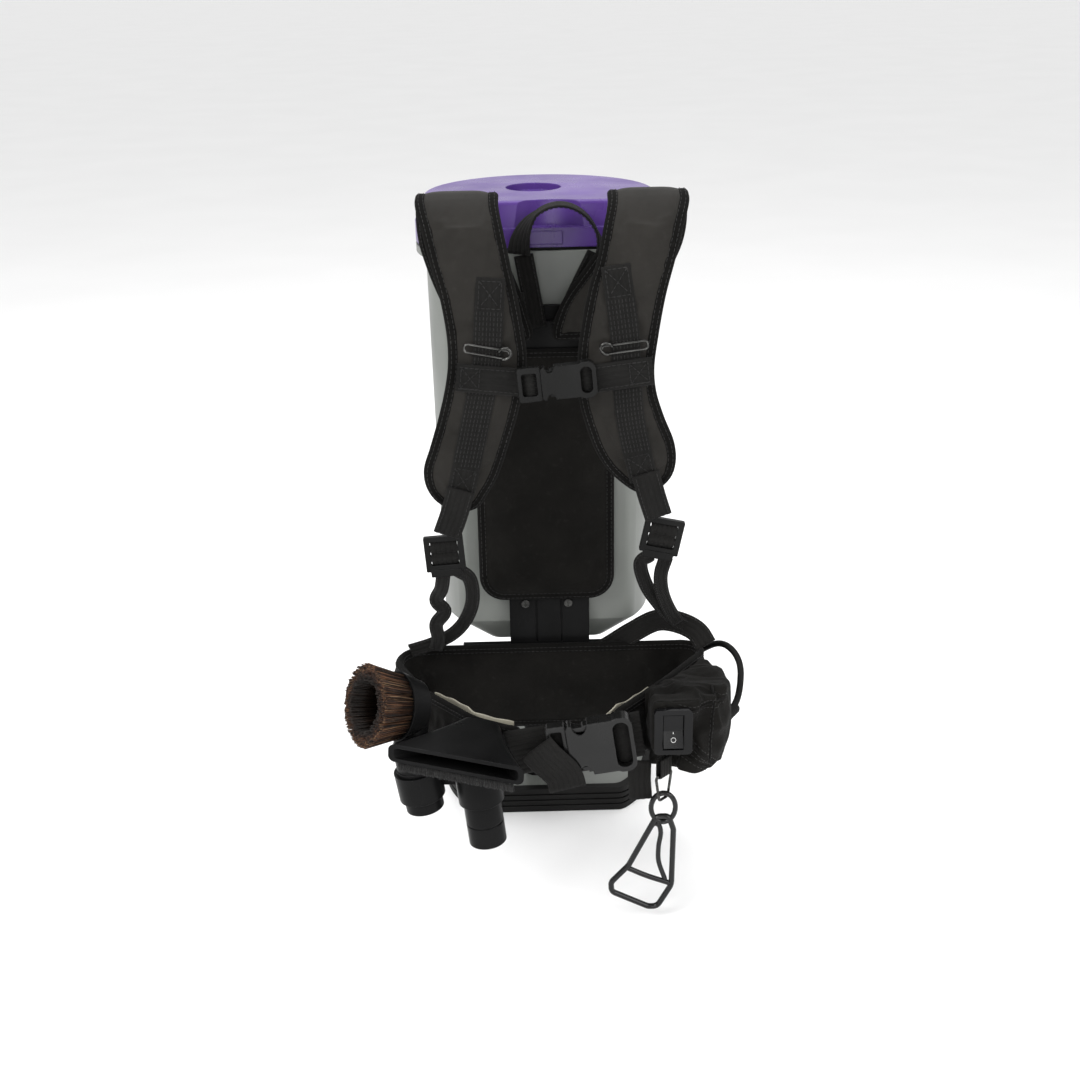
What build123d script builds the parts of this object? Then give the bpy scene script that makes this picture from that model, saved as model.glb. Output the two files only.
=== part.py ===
from build123d import *
import os
from math import cos, hypot, pi, radians, sin, tan

os.makedirs("parts", exist_ok=True)

# Backpack vacuum cleaner. Origin at the centre of the foot's underside, +Z up,
# the harness side faces -Y. All lengths are in millimetres.

# --- driving dimensions: the standing body -----------------------------------
total_height = 635.0
flat_front = -64.0          # flat side of the canister and lid, where the harness sits
wall = 3.0
foot_radius = 104.0
foot_flat = -75.0
foot_height = 24.0
bumper_out = 9.0
bumper_height = 27.0
neck_width = 52.0
neck_depth = 84.0
neck_centre_y = -8.0
pan_bottom = 186.0          # flat underside of the canister
pan_top = 214.0             # where the bottom chamfer meets the side
pan_radius = 70.0
can_low_radius = 106.0
can_top_radius = 110.0
rim_bottom = 583.0
rim_top = 590.0
lid_radius = 119.0
lid_bottom = 593.0
lid_ledge = 611.0
lid_upper_radius = 113.0
corner_round = 14.0

# hose port in the lid
port_x, port_y = -5.0, 24.0
port_bore = 19.2
port_tube = 22.5
port_dish = 27.0
port_low = 556.0

# motor
motor_radius = 48.0
motor_low = 206.0
motor_high = 284.0
shaft_radius = 4.0
partition_z = 300.0

# --- driving dimensions: the harness -----------------------------------------
plate_face = -70.0          # front of the back plate
spine_face = -76.0          # front of the spine plate
pad_face = -92.0
pad_half = 66.0
pad_low, pad_high = 245.0, 500.0
spine_x = 2.0
spine_half = 40.0
belt_thick = 13.0
belt_low, belt_high = 104.0, 195.0
strap_thick = 11.0
web_thick = 2.0
gap = 0.3                   # clearance left round soft pieces

buckle_tilt = 8.0
waist_plane = Plane(
    origin=(33, -281, 190),
    x_dir=(cos(radians(buckle_tilt)), 0, sin(radians(buckle_tilt))),
    z_dir=(0, -1, 0),
)
chest_tilt = 5.0
chest_plane = Plane(
    origin=(9, -214, 507),
    x_dir=(cos(radians(chest_tilt)), 0, sin(radians(chest_tilt))),
    z_dir=(0, -1, 0),
)
switch_x, switch_y, switch_z = 106.0, -281.0, 204.0
tube_radius = 17.0


def leaning(origin, lean):
    """Plane of a stowed tool: its Z is the tube's axis, leaning towards -X."""
    slope = radians(lean)
    return Plane(origin=origin, x_dir=(cos(slope), 0, sin(slope)),
                 z_dir=(-sin(slope), 0, cos(slope)))


upholstery_axis = leaning((-66, -291, 150), 6)
brush_axis = leaning((-118, -290, 150), 9)
link_x = 99.0


def save(piece, label):
    piece.part.label = label
    export_step(piece.part, f"parts/{label}.step")


def d_shape(radius, flat, rounding=corner_round):
    """A disc with its -Y side cut off flat and the two corners rounded."""
    with BuildSketch() as shape:
        Circle(radius)
        with Locations((0, flat)):
            Rectangle(
                3 * radius, radius, align=(Align.CENTER, Align.MAX), mode=Mode.SUBTRACT
            )
        fillet(shape.vertices(), rounding)
    return shape.sketch


def d_block(low, high, radius, flat, mode=Mode.ADD):
    """A straight block of the disc shape between two heights."""
    with BuildSketch(Plane.XY.offset(low)) as profile:
        add(d_shape(radius, flat))
    extrude(profile.sketch, amount=high - low, mode=mode)


def d_taper(low, high, low_radius, low_flat, high_radius, high_flat, mode=Mode.ADD):
    """A tapering block of the disc shape between two heights."""
    with BuildSketch(Plane.XY.offset(low)) as lower:
        add(d_shape(low_radius, low_flat))
    with BuildSketch(Plane.XY.offset(high)) as upper:
        add(d_shape(high_radius, high_flat))
    loft([lower.sketch.face(), upper.sketch.face()], mode=mode)


def disc(low, high, radius, at=(0, 0), mode=Mode.ADD):
    """An upright cylinder between two heights."""
    with Locations((at[0], at[1], low)):
        Cylinder(
            radius, high - low, align=(Align.CENTER, Align.CENTER, Align.MIN), mode=mode
        )


def block(x_range, y_range, z_range, mode=Mode.ADD):
    """A box from its three ranges."""
    centre = [(a + b) / 2 for a, b in (x_range, y_range, z_range)]
    size = [b - a for a, b in (x_range, y_range, z_range)]
    with Locations(tuple(centre)):
        Box(*size, mode=mode)


def beside(points, distance):
    """Points of a side-view line moved sideways by a distance."""
    moved = []
    for i, (y, z) in enumerate(points):
        before, after = points[max(i - 1, 0)], points[min(i + 1, len(points) - 1)]
        run_y, run_z = after[0] - before[0], after[1] - before[1]
        length = hypot(run_y, run_z)
        moved.append((y + run_z / length * distance, z - run_y / length * distance))
    return moved


def side_band(points, inner, outer, x_range):
    """A curved sheet: a side-view line given thickness and width along X."""
    with BuildSketch(Plane.YZ.offset(x_range[0])) as band:
        with BuildLine():
            near = Spline(beside(points, inner))
            far = Spline(beside(points, outer))
            Line(near @ 0, far @ 0)
            Line(near @ 1, far @ 1)
        make_face()
    extrude(band.sketch, amount=x_range[1] - x_range[0])


def front_cut(outline):
    """Keeps only what lies inside an outline seen from the front."""
    with BuildSketch(Plane.XZ) as window:
        with BuildLine():
            Polyline(outline, close=True)
        make_face()
    extrude(window.sketch, amount=500, both=True, mode=Mode.INTERSECT)


def strip(points, width):
    """Outline of a flat strap of constant width along a front-view line."""
    return beside(points, -width / 2) + beside(points, width / 2)[::-1]


# ============================ foot and neck ==================================
with BuildPart() as foot_bumper:
    d_block(0, bumper_height, foot_radius + bumper_out, foot_flat - bumper_out)
    d_block(0, bumper_height, foot_radius, foot_flat, mode=Mode.SUBTRACT)
    rib_pitch, groove_height, groove_depth = 6.5, 2.0, 2.2
    for level in (1, 2, 3):
        with BuildSketch(Plane.XY.offset(level * rib_pitch)):
            add(d_shape(foot_radius + bumper_out + 5, foot_flat - bumper_out - 5))
            add(
                d_shape(
                    foot_radius + bumper_out - groove_depth,
                    foot_flat - bumper_out + groove_depth,
                ),
                mode=Mode.SUBTRACT,
            )
        extrude(amount=groove_height, mode=Mode.SUBTRACT)
save(foot_bumper, "foot_bumper")

with BuildPart() as foot_cover:
    d_block(0, wall, foot_radius, foot_flat)
save(foot_cover, "foot_cover")

with BuildPart() as foot_plate:
    d_block(wall, foot_height, foot_radius, foot_flat)
    d_block(wall, foot_height - wall, foot_radius - wall, foot_flat + wall, Mode.SUBTRACT)
    block(
        (-neck_width / 2 + wall, neck_width / 2 - wall),
        (neck_centre_y - neck_depth / 2 + wall, neck_centre_y + neck_depth / 2 - wall),
        (wall, foot_height),
        Mode.SUBTRACT,
    )
save(foot_plate, "foot_plate")

with BuildPart() as neck:
    with BuildSketch(Plane.XY.offset(foot_height)):
        with Locations((0, neck_centre_y)):
            RectangleRounded(neck_width, neck_depth, 10)
            RectangleRounded(neck_width - 8, neck_depth - 8, 6, mode=Mode.SUBTRACT)
    extrude(amount=pan_bottom - foot_height)
save(neck, "neck")

# ============================ canister =======================================
grille_half, grille_low, grille_high = 36.0, 246.0, 288.0
with BuildPart() as canister:
    d_taper(pan_bottom, pan_top, pan_radius, -44, can_low_radius, flat_front)
    d_taper(pan_top, rim_bottom, can_low_radius, flat_front, can_top_radius, flat_front)
    d_block(rim_bottom, rim_top, lid_radius, flat_front)
    d_taper(
        pan_bottom + wall, pan_top, pan_radius - 2, -42,
        can_low_radius - wall, flat_front + wall, Mode.SUBTRACT,
    )
    d_taper(
        pan_top, rim_top, can_low_radius - wall, flat_front + wall,
        can_top_radius - wall, flat_front + wall, Mode.SUBTRACT,
    )
    block((-grille_half, grille_half), (80, 120), (grille_low, grille_high), Mode.SUBTRACT)
    block(
        (-neck_width / 2 + 6, neck_width / 2 - 6), (-35, 20),
        (pan_bottom - 1, pan_bottom + wall + 1), Mode.SUBTRACT,
    )
save(canister, "canister")

with BuildPart() as exhaust_grille:
    block(
        (-grille_half + 0.2, grille_half - 0.2), (93, 99),
        (grille_low + 0.2, grille_high - 0.2),
    )
    with Locations((0, 96, (grille_low + grille_high) / 2)):
        with GridLocations(12, 1, 5, 1):
            Box(6, 10, 34, mode=Mode.SUBTRACT)
save(exhaust_grille, "exhaust_grille")

with BuildPart() as exhaust_filter:
    block((-34, 34), (80, 92.5), (grille_low, grille_high))
save(exhaust_filter, "exhaust_filter")

# ============================ motor ==========================================
bearing_radius = 11.0
can_inner = motor_radius - 2.5
stator_low, stator_high, bridge_low, bridge_high = 218, 246, 250, 257


def hole_ring(low, high, ring_radius, hole_radius, count):
    """Upright holes spaced evenly on a circle."""
    with BuildSketch(Plane.XY.offset(low)) as holes:
        with PolarLocations(ring_radius, count):
            Circle(hole_radius)
    extrude(holes.sketch, amount=high - low, mode=Mode.SUBTRACT)


with BuildPart() as motor_seals:
    disc(pan_bottom + wall, motor_low, 40)
    disc(pan_bottom + wall, motor_low, 28, mode=Mode.SUBTRACT)
    disc(motor_high + wall, partition_z, 46)
    disc(motor_high + wall, partition_z, 36, mode=Mode.SUBTRACT)
save(motor_seals, "motor_seals")

with BuildPart() as motor_can:
    disc(motor_low, motor_high, motor_radius)
    disc(motor_low + wall, motor_high, can_inner, mode=Mode.SUBTRACT)
    disc(motor_low, motor_low + 9, bearing_radius + wall)
    disc(motor_low + wall, motor_low + 9, bearing_radius, mode=Mode.SUBTRACT)
    disc(motor_low, motor_low + wall, 6, mode=Mode.SUBTRACT)
    hole_ring(motor_low, motor_low + wall, 22, 5, 8)
    # bridge across the can that carries the upper bearing
    disc(bridge_low, bridge_high, can_inner)
    disc(bridge_low, bridge_high, bearing_radius, mode=Mode.SUBTRACT)
    hole_ring(bridge_low, bridge_high, 29, 8, 6)
save(motor_can, "motor_can")

with BuildPart() as motor_stator:
    disc(stator_low, stator_high, can_inner)
    disc(stator_low, stator_high, 22, mode=Mode.SUBTRACT)
    hole_ring(stator_low, stator_high, 34, 6, 4)
save(motor_stator, "motor_stator")

with BuildPart() as motor_bearings:
    for low in (motor_low + wall, bridge_low):
        disc(low, low + 6, bearing_radius)
        disc(low, low + 6, shaft_radius + 0.03, mode=Mode.SUBTRACT)
save(motor_bearings, "motor_bearings")

with BuildPart() as motor_rotor:
    disc(motor_low + wall + 1, 278, shaft_radius)
    disc(stator_low, stator_high, 20)
save(motor_rotor, "motor_rotor")

fan_low, fan_high = 263, 278
with BuildPart() as motor_fan:
    disc(fan_low, fan_low + 2, 42)
    disc(fan_low, fan_high, 9)
    with BuildSketch(Plane.XY.offset(fan_low + 2)):
        with PolarLocations(25, 9):
            with Locations(Rotation(0, 0, 28)):
                Rectangle(30, 1.8)
    extrude(amount=fan_high - fan_low - 2)
    disc(fan_low, fan_high, shaft_radius, mode=Mode.SUBTRACT)
save(motor_fan, "motor_fan")

with BuildPart() as fan_shroud:
    disc(motor_high, motor_high + wall, motor_radius)
    disc(motor_high, motor_high + wall, 24, mode=Mode.SUBTRACT)
save(fan_shroud, "fan_shroud")

with BuildPart() as partition:
    d_block(partition_z, partition_z + 4, can_low_radius - wall + 0.6, flat_front + wall)
    disc(partition_z, partition_z + 4, 11, mode=Mode.SUBTRACT)
    hole_ring(partition_z, partition_z + 4, 23, 7, 6)
save(partition, "partition")

with BuildPart() as dome_filter:
    disc(partition_z + 4.3, partition_z + 22, 55)
    fillet(dome_filter.edges().group_by(Axis.Z)[-1], 12)
save(dome_filter, "dome_filter")

# ============================ filters and bag ================================
with BuildPart() as cloth_filter:
    d_block(332, rim_top, 101, -55)
    d_block(334, rim_top, 99, -53, Mode.SUBTRACT)
save(cloth_filter, "cloth_filter")

with BuildPart() as filter_bag:
    d_block(340, 560, 93, -47)
    d_block(341.5, 558.5, 91.5, -45.5, Mode.SUBTRACT)
    disc(555, 562, port_tube + 3, (port_x, port_y), Mode.SUBTRACT)
save(filter_bag, "filter_bag")

with BuildPart() as bag_collar:
    with BuildSketch(Plane.XY.offset(560)):
        with Locations((port_x, port_y)):
            RectangleRounded(96, 84, 8)
            Circle(port_tube + 0.5, mode=Mode.SUBTRACT)
    extrude(amount=4)
save(bag_collar, "bag_collar")

# ============================ lid ============================================
with BuildPart() as lid:
    d_block(lid_bottom, lid_ledge, lid_radius, flat_front)
    d_taper(
        lid_ledge, total_height, lid_upper_radius, flat_front + 3,
        lid_upper_radius - 3, flat_front + 5,
    )
    fillet(lid.edges().group_by(Axis.Z)[-1], 4)
    # concave scoop across the front of the upper tier
    disc(lid_ledge, total_height, 62, (8, flat_front - 50), Mode.SUBTRACT)
    d_block(
        lid_bottom, lid_ledge - wall, lid_radius - 14, flat_front + 8, Mode.SUBTRACT
    )
    d_block(lid_ledge - wall, total_height - 4, 100, -45, Mode.SUBTRACT)
    # lip that drops inside the rim
    d_block(584, lid_bottom + 6, 97.5, -51.5)
    d_block(584, lid_bottom + 6, 94.5, -48.5, Mode.SUBTRACT)
    d_block(lid_bottom, lid_bottom + 6, lid_radius - 10, flat_front + 4)
    d_block(lid_bottom, lid_bottom + 6, 94.5, -48.5, Mode.SUBTRACT)
    # hose port
    disc(port_low, total_height, port_tube, (port_x, port_y))
    disc(total_height - 12, total_height, port_dish + 3, (port_x, port_y))
    disc(total_height - 7, total_height, port_dish, (port_x, port_y), Mode.SUBTRACT)
    disc(port_low, total_height, port_bore, (port_x, port_y), Mode.SUBTRACT)
    # plain raised panel on the front of the lower tier
    block((-24, 20), (flat_front - 1.2, flat_front), (lid_bottom + 3, lid_ledge - 3))
save(lid, "lid")

with BuildPart() as lid_gasket:
    d_block(rim_top, lid_bottom, lid_radius - 2.5, flat_front + 2.5)
    d_block(rim_top, lid_bottom, can_top_radius + 1, flat_front + 9, Mode.SUBTRACT)
save(lid_gasket, "lid_gasket")

# ============================ back plate, spine, pad =========================
with BuildPart() as back_plate:
    with BuildSketch(Plane.XZ.offset(-flat_front)):
        with Locations((0, 390)):
            RectangleRounded(120, 300, 16)
    extrude(amount=flat_front - plate_face)
save(back_plate, "back_plate")

with BuildPart() as spine_plate:
    with BuildSketch(Plane.XZ.offset(-plate_face)) as spine_shape:
        with Locations((spine_x, 183)):
            Rectangle(2 * spine_half, 150)
        with Locations((spine_x, (belt_low + belt_high) / 2 + 2)):
            Rectangle(2 * spine_half + 96, belt_high - belt_low - 6)
        inner_corners = [
            v for v in spine_shape.vertices()
            if abs(abs(v.X - spine_x) - spine_half) < 0.1 and 180 < v.Z < 220
        ]
        fillet(inner_corners, 22)
    extrude(amount=plate_face - spine_face)
    for groove_x in (-11, 14):
        block(
            (groove_x - 1, groove_x + 1), (spine_face, spine_face + 1.5), (belt_high, 250),
            Mode.SUBTRACT,
        )
save(spine_plate, "spine_plate")

with BuildPart() as spine_screws:
    for screw_x in (-22, 21):
        with Locations(Plane(origin=(screw_x, spine_face, 238.5), z_dir=(0, -1, 0))):
            Cylinder(4.2, 2.4, align=(Align.CENTER, Align.CENTER, Align.MIN))
            with Locations((0, 0, 2.4)):
                Box(5.5, 1, 1.6, mode=Mode.SUBTRACT)
save(spine_screws, "spine_screws")

with BuildPart() as back_pad:
    with BuildSketch(Plane.XZ.offset(-spine_face + gap)):
        with Locations((0, (pad_low + pad_high) / 2)):
            RectangleRounded(2 * pad_half, pad_high - pad_low, 24)
    extrude(amount=spine_face - gap - pad_face)
    fillet(back_pad.faces().sort_by(Axis.Y)[0].edges(), 5)
save(back_pad, "back_pad")

with BuildPart() as yoke_plate:
    with BuildSketch(Plane.XZ.offset(-plate_face)):
        with Locations((0, 512)):
            RectangleRounded(112, 28, 8)
    extrude(amount=plate_face - spine_face)
save(yoke_plate, "yoke_plate")

rivet_spots = [(x, spine_face, 513) for x in (-48, -16, 20, 48)]
rivet_spots += [(x, -271, 188) for x in (-90, -134)]
with BuildPart() as rivets:
    for spot in rivet_spots:
        with Locations(Plane(origin=spot, z_dir=(0, -1, 0))):
            Cylinder(3.2, 1.8, align=(Align.CENTER, Align.CENTER, Align.MIN))
save(rivets, "rivets")

# ============================ carry handle ===================================
handle_x, handle_half, handle_base, handle_high = 17.0, 39.0, 591.0, 637.0
with BuildPart() as carry_handle:
    with BuildSketch(Plane.XZ.offset(72)):
        with Locations((handle_x, handle_base)):
            Ellipse(handle_half, handle_high - handle_base)
            Ellipse(
                handle_half - 3, handle_high - handle_base - 3, mode=Mode.SUBTRACT
            )
        with Locations((handle_x, handle_base)):
            Rectangle(120, 60, align=(Align.CENTER, Align.MAX), mode=Mode.SUBTRACT)
    extrude(amount=24)
save(carry_handle, "carry_handle")

with BuildPart() as handle_web:
    for side in (-1, 1):
        low = (handle_x - 11 + side * 11, 520)
        high = (handle_x + side * (handle_half - 6), handle_base - 0.4)
        with BuildPart(mode=Mode.PRIVATE) as handle_leg:
            side_band([(-84, 519), (-81, 555), (-78, handle_base)], 0, 2.6, (-60, 80))
            front_cut(strip([low, high], 17))
        add(handle_leg.part)
save(handle_web, "handle_web")

# ============================ shoulder straps ================================
# Side view of each strap: up from the back plate, over the shoulder, down the chest.
strap_line = [
    (-88, 512), (-98, 566), (-118, 620), (-152, 655), (-184, 632),
    (-196, 580), (-196, 500), (-188, 430), (-178, 368),
]
# Front view outlines, the chest part of the left and of the right strap
left_front = [
    (-108, 700), (-107, 662), (-100, 627), (-94, 603), (-88, 579), (-83, 544),
    (-83, 520), (-86, 500), (-93, 472), (-102, 443), (-109, 420), (-107, 402),
    (-98, 388), (-85, 381), (-73, 379), (-63, 383), (-55, 395), (-46, 411),
    (-34, 446), (-23, 485), (-17, 524), (-19, 546), (-24, 578), (-30, 608),
    (-38, 650), (-39, 700),
]
right_front = [
    (125, 700), (124, 660), (117, 630), (110, 605), (102, 575), (96, 540),
    (93, 512), (95, 491), (102, 468), (112, 442), (114, 424), (111, 410),
    (102, 399), (90, 394), (80, 395), (70, 402), (56, 416), (45, 434),
    (36, 459), (29, 488), (29, 526), (32, 550), (39, 584), (46, 606),
    (52, 632), (57, 660), (57, 700),
]


strap_crest = -152.0


def strap_part(inner, outer, outline, y_range):
    """Part of a layer that follows the strap line, kept between two depths."""
    with BuildPart() as layer:
        side_band(strap_line, inner, outer, (-140, 140))
        front_cut(outline)
        block((-200, 200), y_range, (300, 750), Mode.INTERSECT)
    return layer.part


for side, label, front in (
    (-1, "shoulder_strap_left", left_front),
    (1, "shoulder_strap_right", right_front),
):
    inner_top, outer_top = front[-1][0], front[0][0]
    rear = [
        (outer_top, 700), (outer_top, 600), (side * 66, 505),
        (side * 12, 505), (side * 16, 540), (inner_top, 610), (inner_top, 700),
    ]
    half_thick = strap_thick / 2
    chest_half_part = strap_part(-half_thick, half_thick, front, (-300, strap_crest))
    back_half_part = strap_part(-half_thick, half_thick, rear, (strap_crest, 0))
    with BuildPart() as shoulder_strap:
        add(chest_half_part)
        add(back_half_part)
    save(shoulder_strap, label)

# ============================ webbing on the straps ==========================
on_strap = strap_thick / 2 + gap
for label, upper, lower in (
    ("strap_web_left", [(-45, 594), (-49, 541)], [(-50, 525), (-64, 460), (-78, 398)]),
    ("strap_web_right", [(60, 602), (68, 541)], [(69, 525), (73, 470), (86, 408)]),
):
    layers = [
        strap_part(on_strap, on_strap + web_thick, strip(path, 25), (-300, strap_crest))
        for path in (upper, lower)
    ]
    with BuildPart() as strap_web:
        for layer_part in layers:
            add(layer_part)
    save(strap_web, label)

ring_y, ring_z, ring_wire = -207.0, 533.0, 3.0
with BuildPart() as strap_rings:
    with BuildSketch(Plane.XZ.offset(-ring_y - ring_wire / 2)):
        with Locations((-48, ring_z), (66, ring_z)):
            RectangleRounded(47, 13, 5)
            RectangleRounded(
                47 - 2 * ring_wire, 13 - 2 * ring_wire, 2, mode=Mode.SUBTRACT
            )
    extrude(amount=ring_wire)
save(strap_rings, "strap_rings")

chest_web_width, chest_web_y = 25.0, -208.7
with BuildPart() as sternum_webs:
    with BuildSketch(Plane.XZ.offset(-chest_web_y - web_thick)):
        for web_line in ([(-76, 511), (-22, 505)], [(43, 507), (92, 513)]):
            with BuildLine():
                Polyline(strip(web_line, chest_web_width), close=True)
            make_face()
    extrude(amount=web_thick)
save(sternum_webs, "sternum_webs")


# ============================ buckles ========================================
def slab(u_range, v_range, w_range, mode=Mode.ADD, rounding=0.0):
    """A plate in the working plane from its three ranges."""
    with Locations(
        tuple((a + b) / 2 for a, b in (u_range, v_range, w_range))
    ):
        Box(*(b - a for a, b in (u_range, v_range, w_range)), mode=mode)


def socket_half(plane, half, left, right, thick, label):
    """Female half: open at its left end, thumb cut-outs, webbing loop at the right."""
    loop = 0.36 * (left + right)
    reach = 0.75 * half
    with BuildPart(plane) as socket:
        with BuildSketch(plane.offset(-thick / 2)):
            with Locations(((right - loop / 2 - left) / 2, 0)):
                RectangleRounded(left + right - loop / 2, 2 * half - 3, 0.16 * half)
            with Locations((right - loop / 2, 0)):
                RectangleRounded(loop, 2 * half, 0.42 * loop)
            with Locations((right - loop / 2, 0)):
                RectangleRounded(
                    loop - 7, 2 * half - 9, 0.46 * (loop - 7), mode=Mode.SUBTRACT
                )
            for edge in (-half, half):
                with Locations((-left + 0.62 * reach, edge)):
                    Ellipse(0.34 * reach, 0.42 * half, mode=Mode.SUBTRACT)
        extrude(amount=thick)
        slab(
            (-left - 1, right - loop - 3), (-half + 3, half - 3),
            (-thick / 2 + 2.2, thick / 2 - 2.2), Mode.SUBTRACT,
        )
    save(socket, label)


def prong_half(plane, half, left, out, thick, label):
    """Male half: webbing frame, two springy prongs and a middle guide."""
    reach = 0.75 * half
    inner = thick / 2 - 2.2 - 0.4
    with BuildPart(plane) as prongs:
        with BuildSketch(plane.offset(-thick / 2 + 2)):
            with Locations((-left - out / 2 - 0.3, 0)):
                RectangleRounded(out, 2 * half - 2, 2)
                RectangleRounded(out - 7, 2 * half - 12, 2, mode=Mode.SUBTRACT)
        extrude(amount=thick - 4)
        for side in (-1, 1):
            arm = sorted((side * (half - 9), side * (half - 5)))
            tip = sorted((side * (half - 9), side * (half - 3.5)))
            slab((-left - 4, -left + reach), arm, (-inner, inner))
            slab((-left + reach - 5, -left + reach), tip, (-inner, inner))
        slab((-left - 4, -left + 0.7 * reach), (-3, 3), (-inner, inner))
    save(prongs, label)


waist_half, waist_left, waist_right, waist_thick, waist_out = 27.0, 20.0, 39.0, 14.0, 17.0
socket_half(waist_plane, waist_half, waist_left, waist_right, waist_thick,
            "waist_buckle_socket")
prong_half(waist_plane, waist_half, waist_left, waist_out, waist_thick,
           "waist_buckle_prongs")
chest_half, chest_left, chest_right, chest_thick, chest_out = 16.0, 13.0, 34.0, 10.0, 20.0
socket_half(chest_plane, chest_half, chest_left, chest_right, chest_thick,
            "sternum_buckle_socket")
prong_half(chest_plane, chest_half, chest_left, chest_out, chest_thick,
           "sternum_buckle_prongs")

waist_web_half = 24.0
with BuildPart(waist_plane) as waist_web_left:
    slab((-73, -waist_left - waist_out + 4), (-waist_web_half, waist_web_half), (-10, -8))
    with BuildSketch(Plane.XZ.offset(289)):
        with BuildLine():
            Polyline((-26, 188), (-8, 199), (22, 171), (0, 135), close=True)
        make_face()
    extrude(amount=web_thick)
save(waist_web_left, "waist_web_left")
with BuildPart() as waist_web_right:
    with BuildPart(waist_plane, mode=Mode.PRIVATE) as buckle_end:
        slab((waist_right - 9, 47), (-waist_web_half, waist_web_half), (-10, -8))
    add(buckle_end.part)
    block((67, 89), (-270.2, -270.2 + web_thick), (126, 167))
save(waist_web_right, "waist_web_right")

# ============================ ladder locks and lower webbing =================
with BuildPart() as ladder_locks:
    for centre, lean in (((-95, -181, 338), 4), ((104, -181, 350), -12)):
        lock_plane = Plane(
            origin=centre, x_dir=(cos(radians(lean)), 0, sin(radians(lean))),
            z_dir=(0, -1, 0),
        )
        with BuildPart(lock_plane, mode=Mode.PRIVATE) as one_lock:
            slab((-18, 18), (-17, 17), (-2.5, 2.5))
            for slot in ((7, 12), (-2, 2.5), (-11, -6.5)):
                slab((-13, 13), slot, (-3, 3), Mode.SUBTRACT)
            slab((-14, 14), (-22, -15), (-0.5, 3.5))
            fillet(one_lock.edges().filter_by(Axis.Y), 1.2)
        add(one_lock.part)
save(ladder_locks, "ladder_locks")

# each lower webbing: from the strap's tip to the lock, then down to the belt
upper_side = [(-196.5, 425), (-193, 398), (-185, 345)]
adjuster_side = [(-181, 327), (-160, 280), (-136, 250), (-114, 224), (-97, 204)]
for label, upper, strands in (
    (
        "adjuster_web_left", [(-77, 404), (-92, 358)],
        (
            [(-97, 317), (-104, 262), (-108, 214)],
            [(-84, 317), (-75, 280), (-80, 246), (-102, 224), (-146, 210)],
        ),
    ),
    (
        "adjuster_web_right", [(87, 416), (100, 371)],
        (
            [(106, 323), (111, 286), (108, 252), (72, 208)],
            [(92, 323), (86, 296), (94, 268), (112, 246), (148, 212)],
        ),
    ),
):
    pieces = []
    for side_line, path, width in (
        (upper_side, upper, 25), *((adjuster_side, strand, 13) for strand in strands),
    ):
        with BuildPart() as web_run:
            side_band(side_line, 0, web_thick, (-170, 170))
            front_cut(strip(path, width))
        pieces.append(web_run.part)
    with BuildPart() as adjuster_web:
        for web_part in pieces:
            add(web_part)
    save(adjuster_web, label)

# ============================ waist belt =====================================
# Plan corners of the belt's outer face, each with its rounding; the wings close
# in towards the buckle.
belt_corners = [
    ((-156, -77), 34), ((-154, -128), 40), ((-128, -200), 50), ((-78, -268), 24),
    ((60, -268), 18), ((113, -192), 60), ((158, -112), 30), ((158, -77), 24),
]


def belt_outline(grow):
    """Plan of the waist belt, grown outward by a distance."""
    with BuildSketch() as outline:
        with BuildLine():
            Polyline([corner for corner, _ in belt_corners], close=True)
        make_face()
        for (x, y), rounding in belt_corners:
            corner = outline.vertices().sort_by_distance((x, y, 0))[0]
            fillet(corner, rounding)
        if grow:
            offset(amount=grow, mode=Mode.REPLACE)
    return outline.sketch


def belt_profile(lift=0.0):
    """Side view of the belt: low at the back, rising towards the front."""
    with BuildSketch(Plane.YZ) as profile:
        with BuildLine():
            Polyline(
                (-60, belt_low), (-60, belt_high + lift), (-110, 197 + lift),
                (-190, 208 + lift), (-300, 217 + lift), (-300, 170), (-262, 167),
                (-190, 136), (-110, belt_low), close=True,
            )
        make_face()
    return profile.sketch


gap_left, gap_right = -28.0, 44.0      # ends of the two wings at the buckle
with BuildPart() as waist_belt:
    with BuildSketch(Plane.XY.offset(80)):
        add(belt_outline(0))
        add(belt_outline(-belt_thick), mode=Mode.SUBTRACT)
    extrude(amount=200)
    extrude(belt_profile(), amount=300, both=True, mode=Mode.INTERSECT)
    block((gap_left, gap_right), (-300, -240), (80, 280), Mode.SUBTRACT)
    # both wings drop towards their ends
    with BuildSketch(Plane.XZ.offset(230)):
        with BuildLine():
            Polyline((-80, 250), (-80, 214), (-27, 197), (-27, 250), close=True)
        make_face()
        with BuildLine():
            Polyline((43, 200), (62, 216), (62, 250), (43, 250), close=True)
        make_face()
    extrude(amount=60, mode=Mode.SUBTRACT)
save(waist_belt, "waist_belt")

stiff_in, stiff_out = -belt_thick - 2.2, -belt_thick - gap
with BuildPart() as belt_stiffener:
    with BuildSketch(Plane.XY.offset(80)):
        add(belt_outline(stiff_out))
        add(belt_outline(stiff_in), mode=Mode.SUBTRACT)
    extrude(amount=200)
    extrude(belt_profile(3), amount=300, both=True, mode=Mode.INTERSECT)
    block((-66, 48), (-300, -200), (80, 280), Mode.SUBTRACT)
    block((-300, 300), (-170, 0), (80, 280), Mode.SUBTRACT)
save(belt_stiffener, "belt_stiffener")

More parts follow.
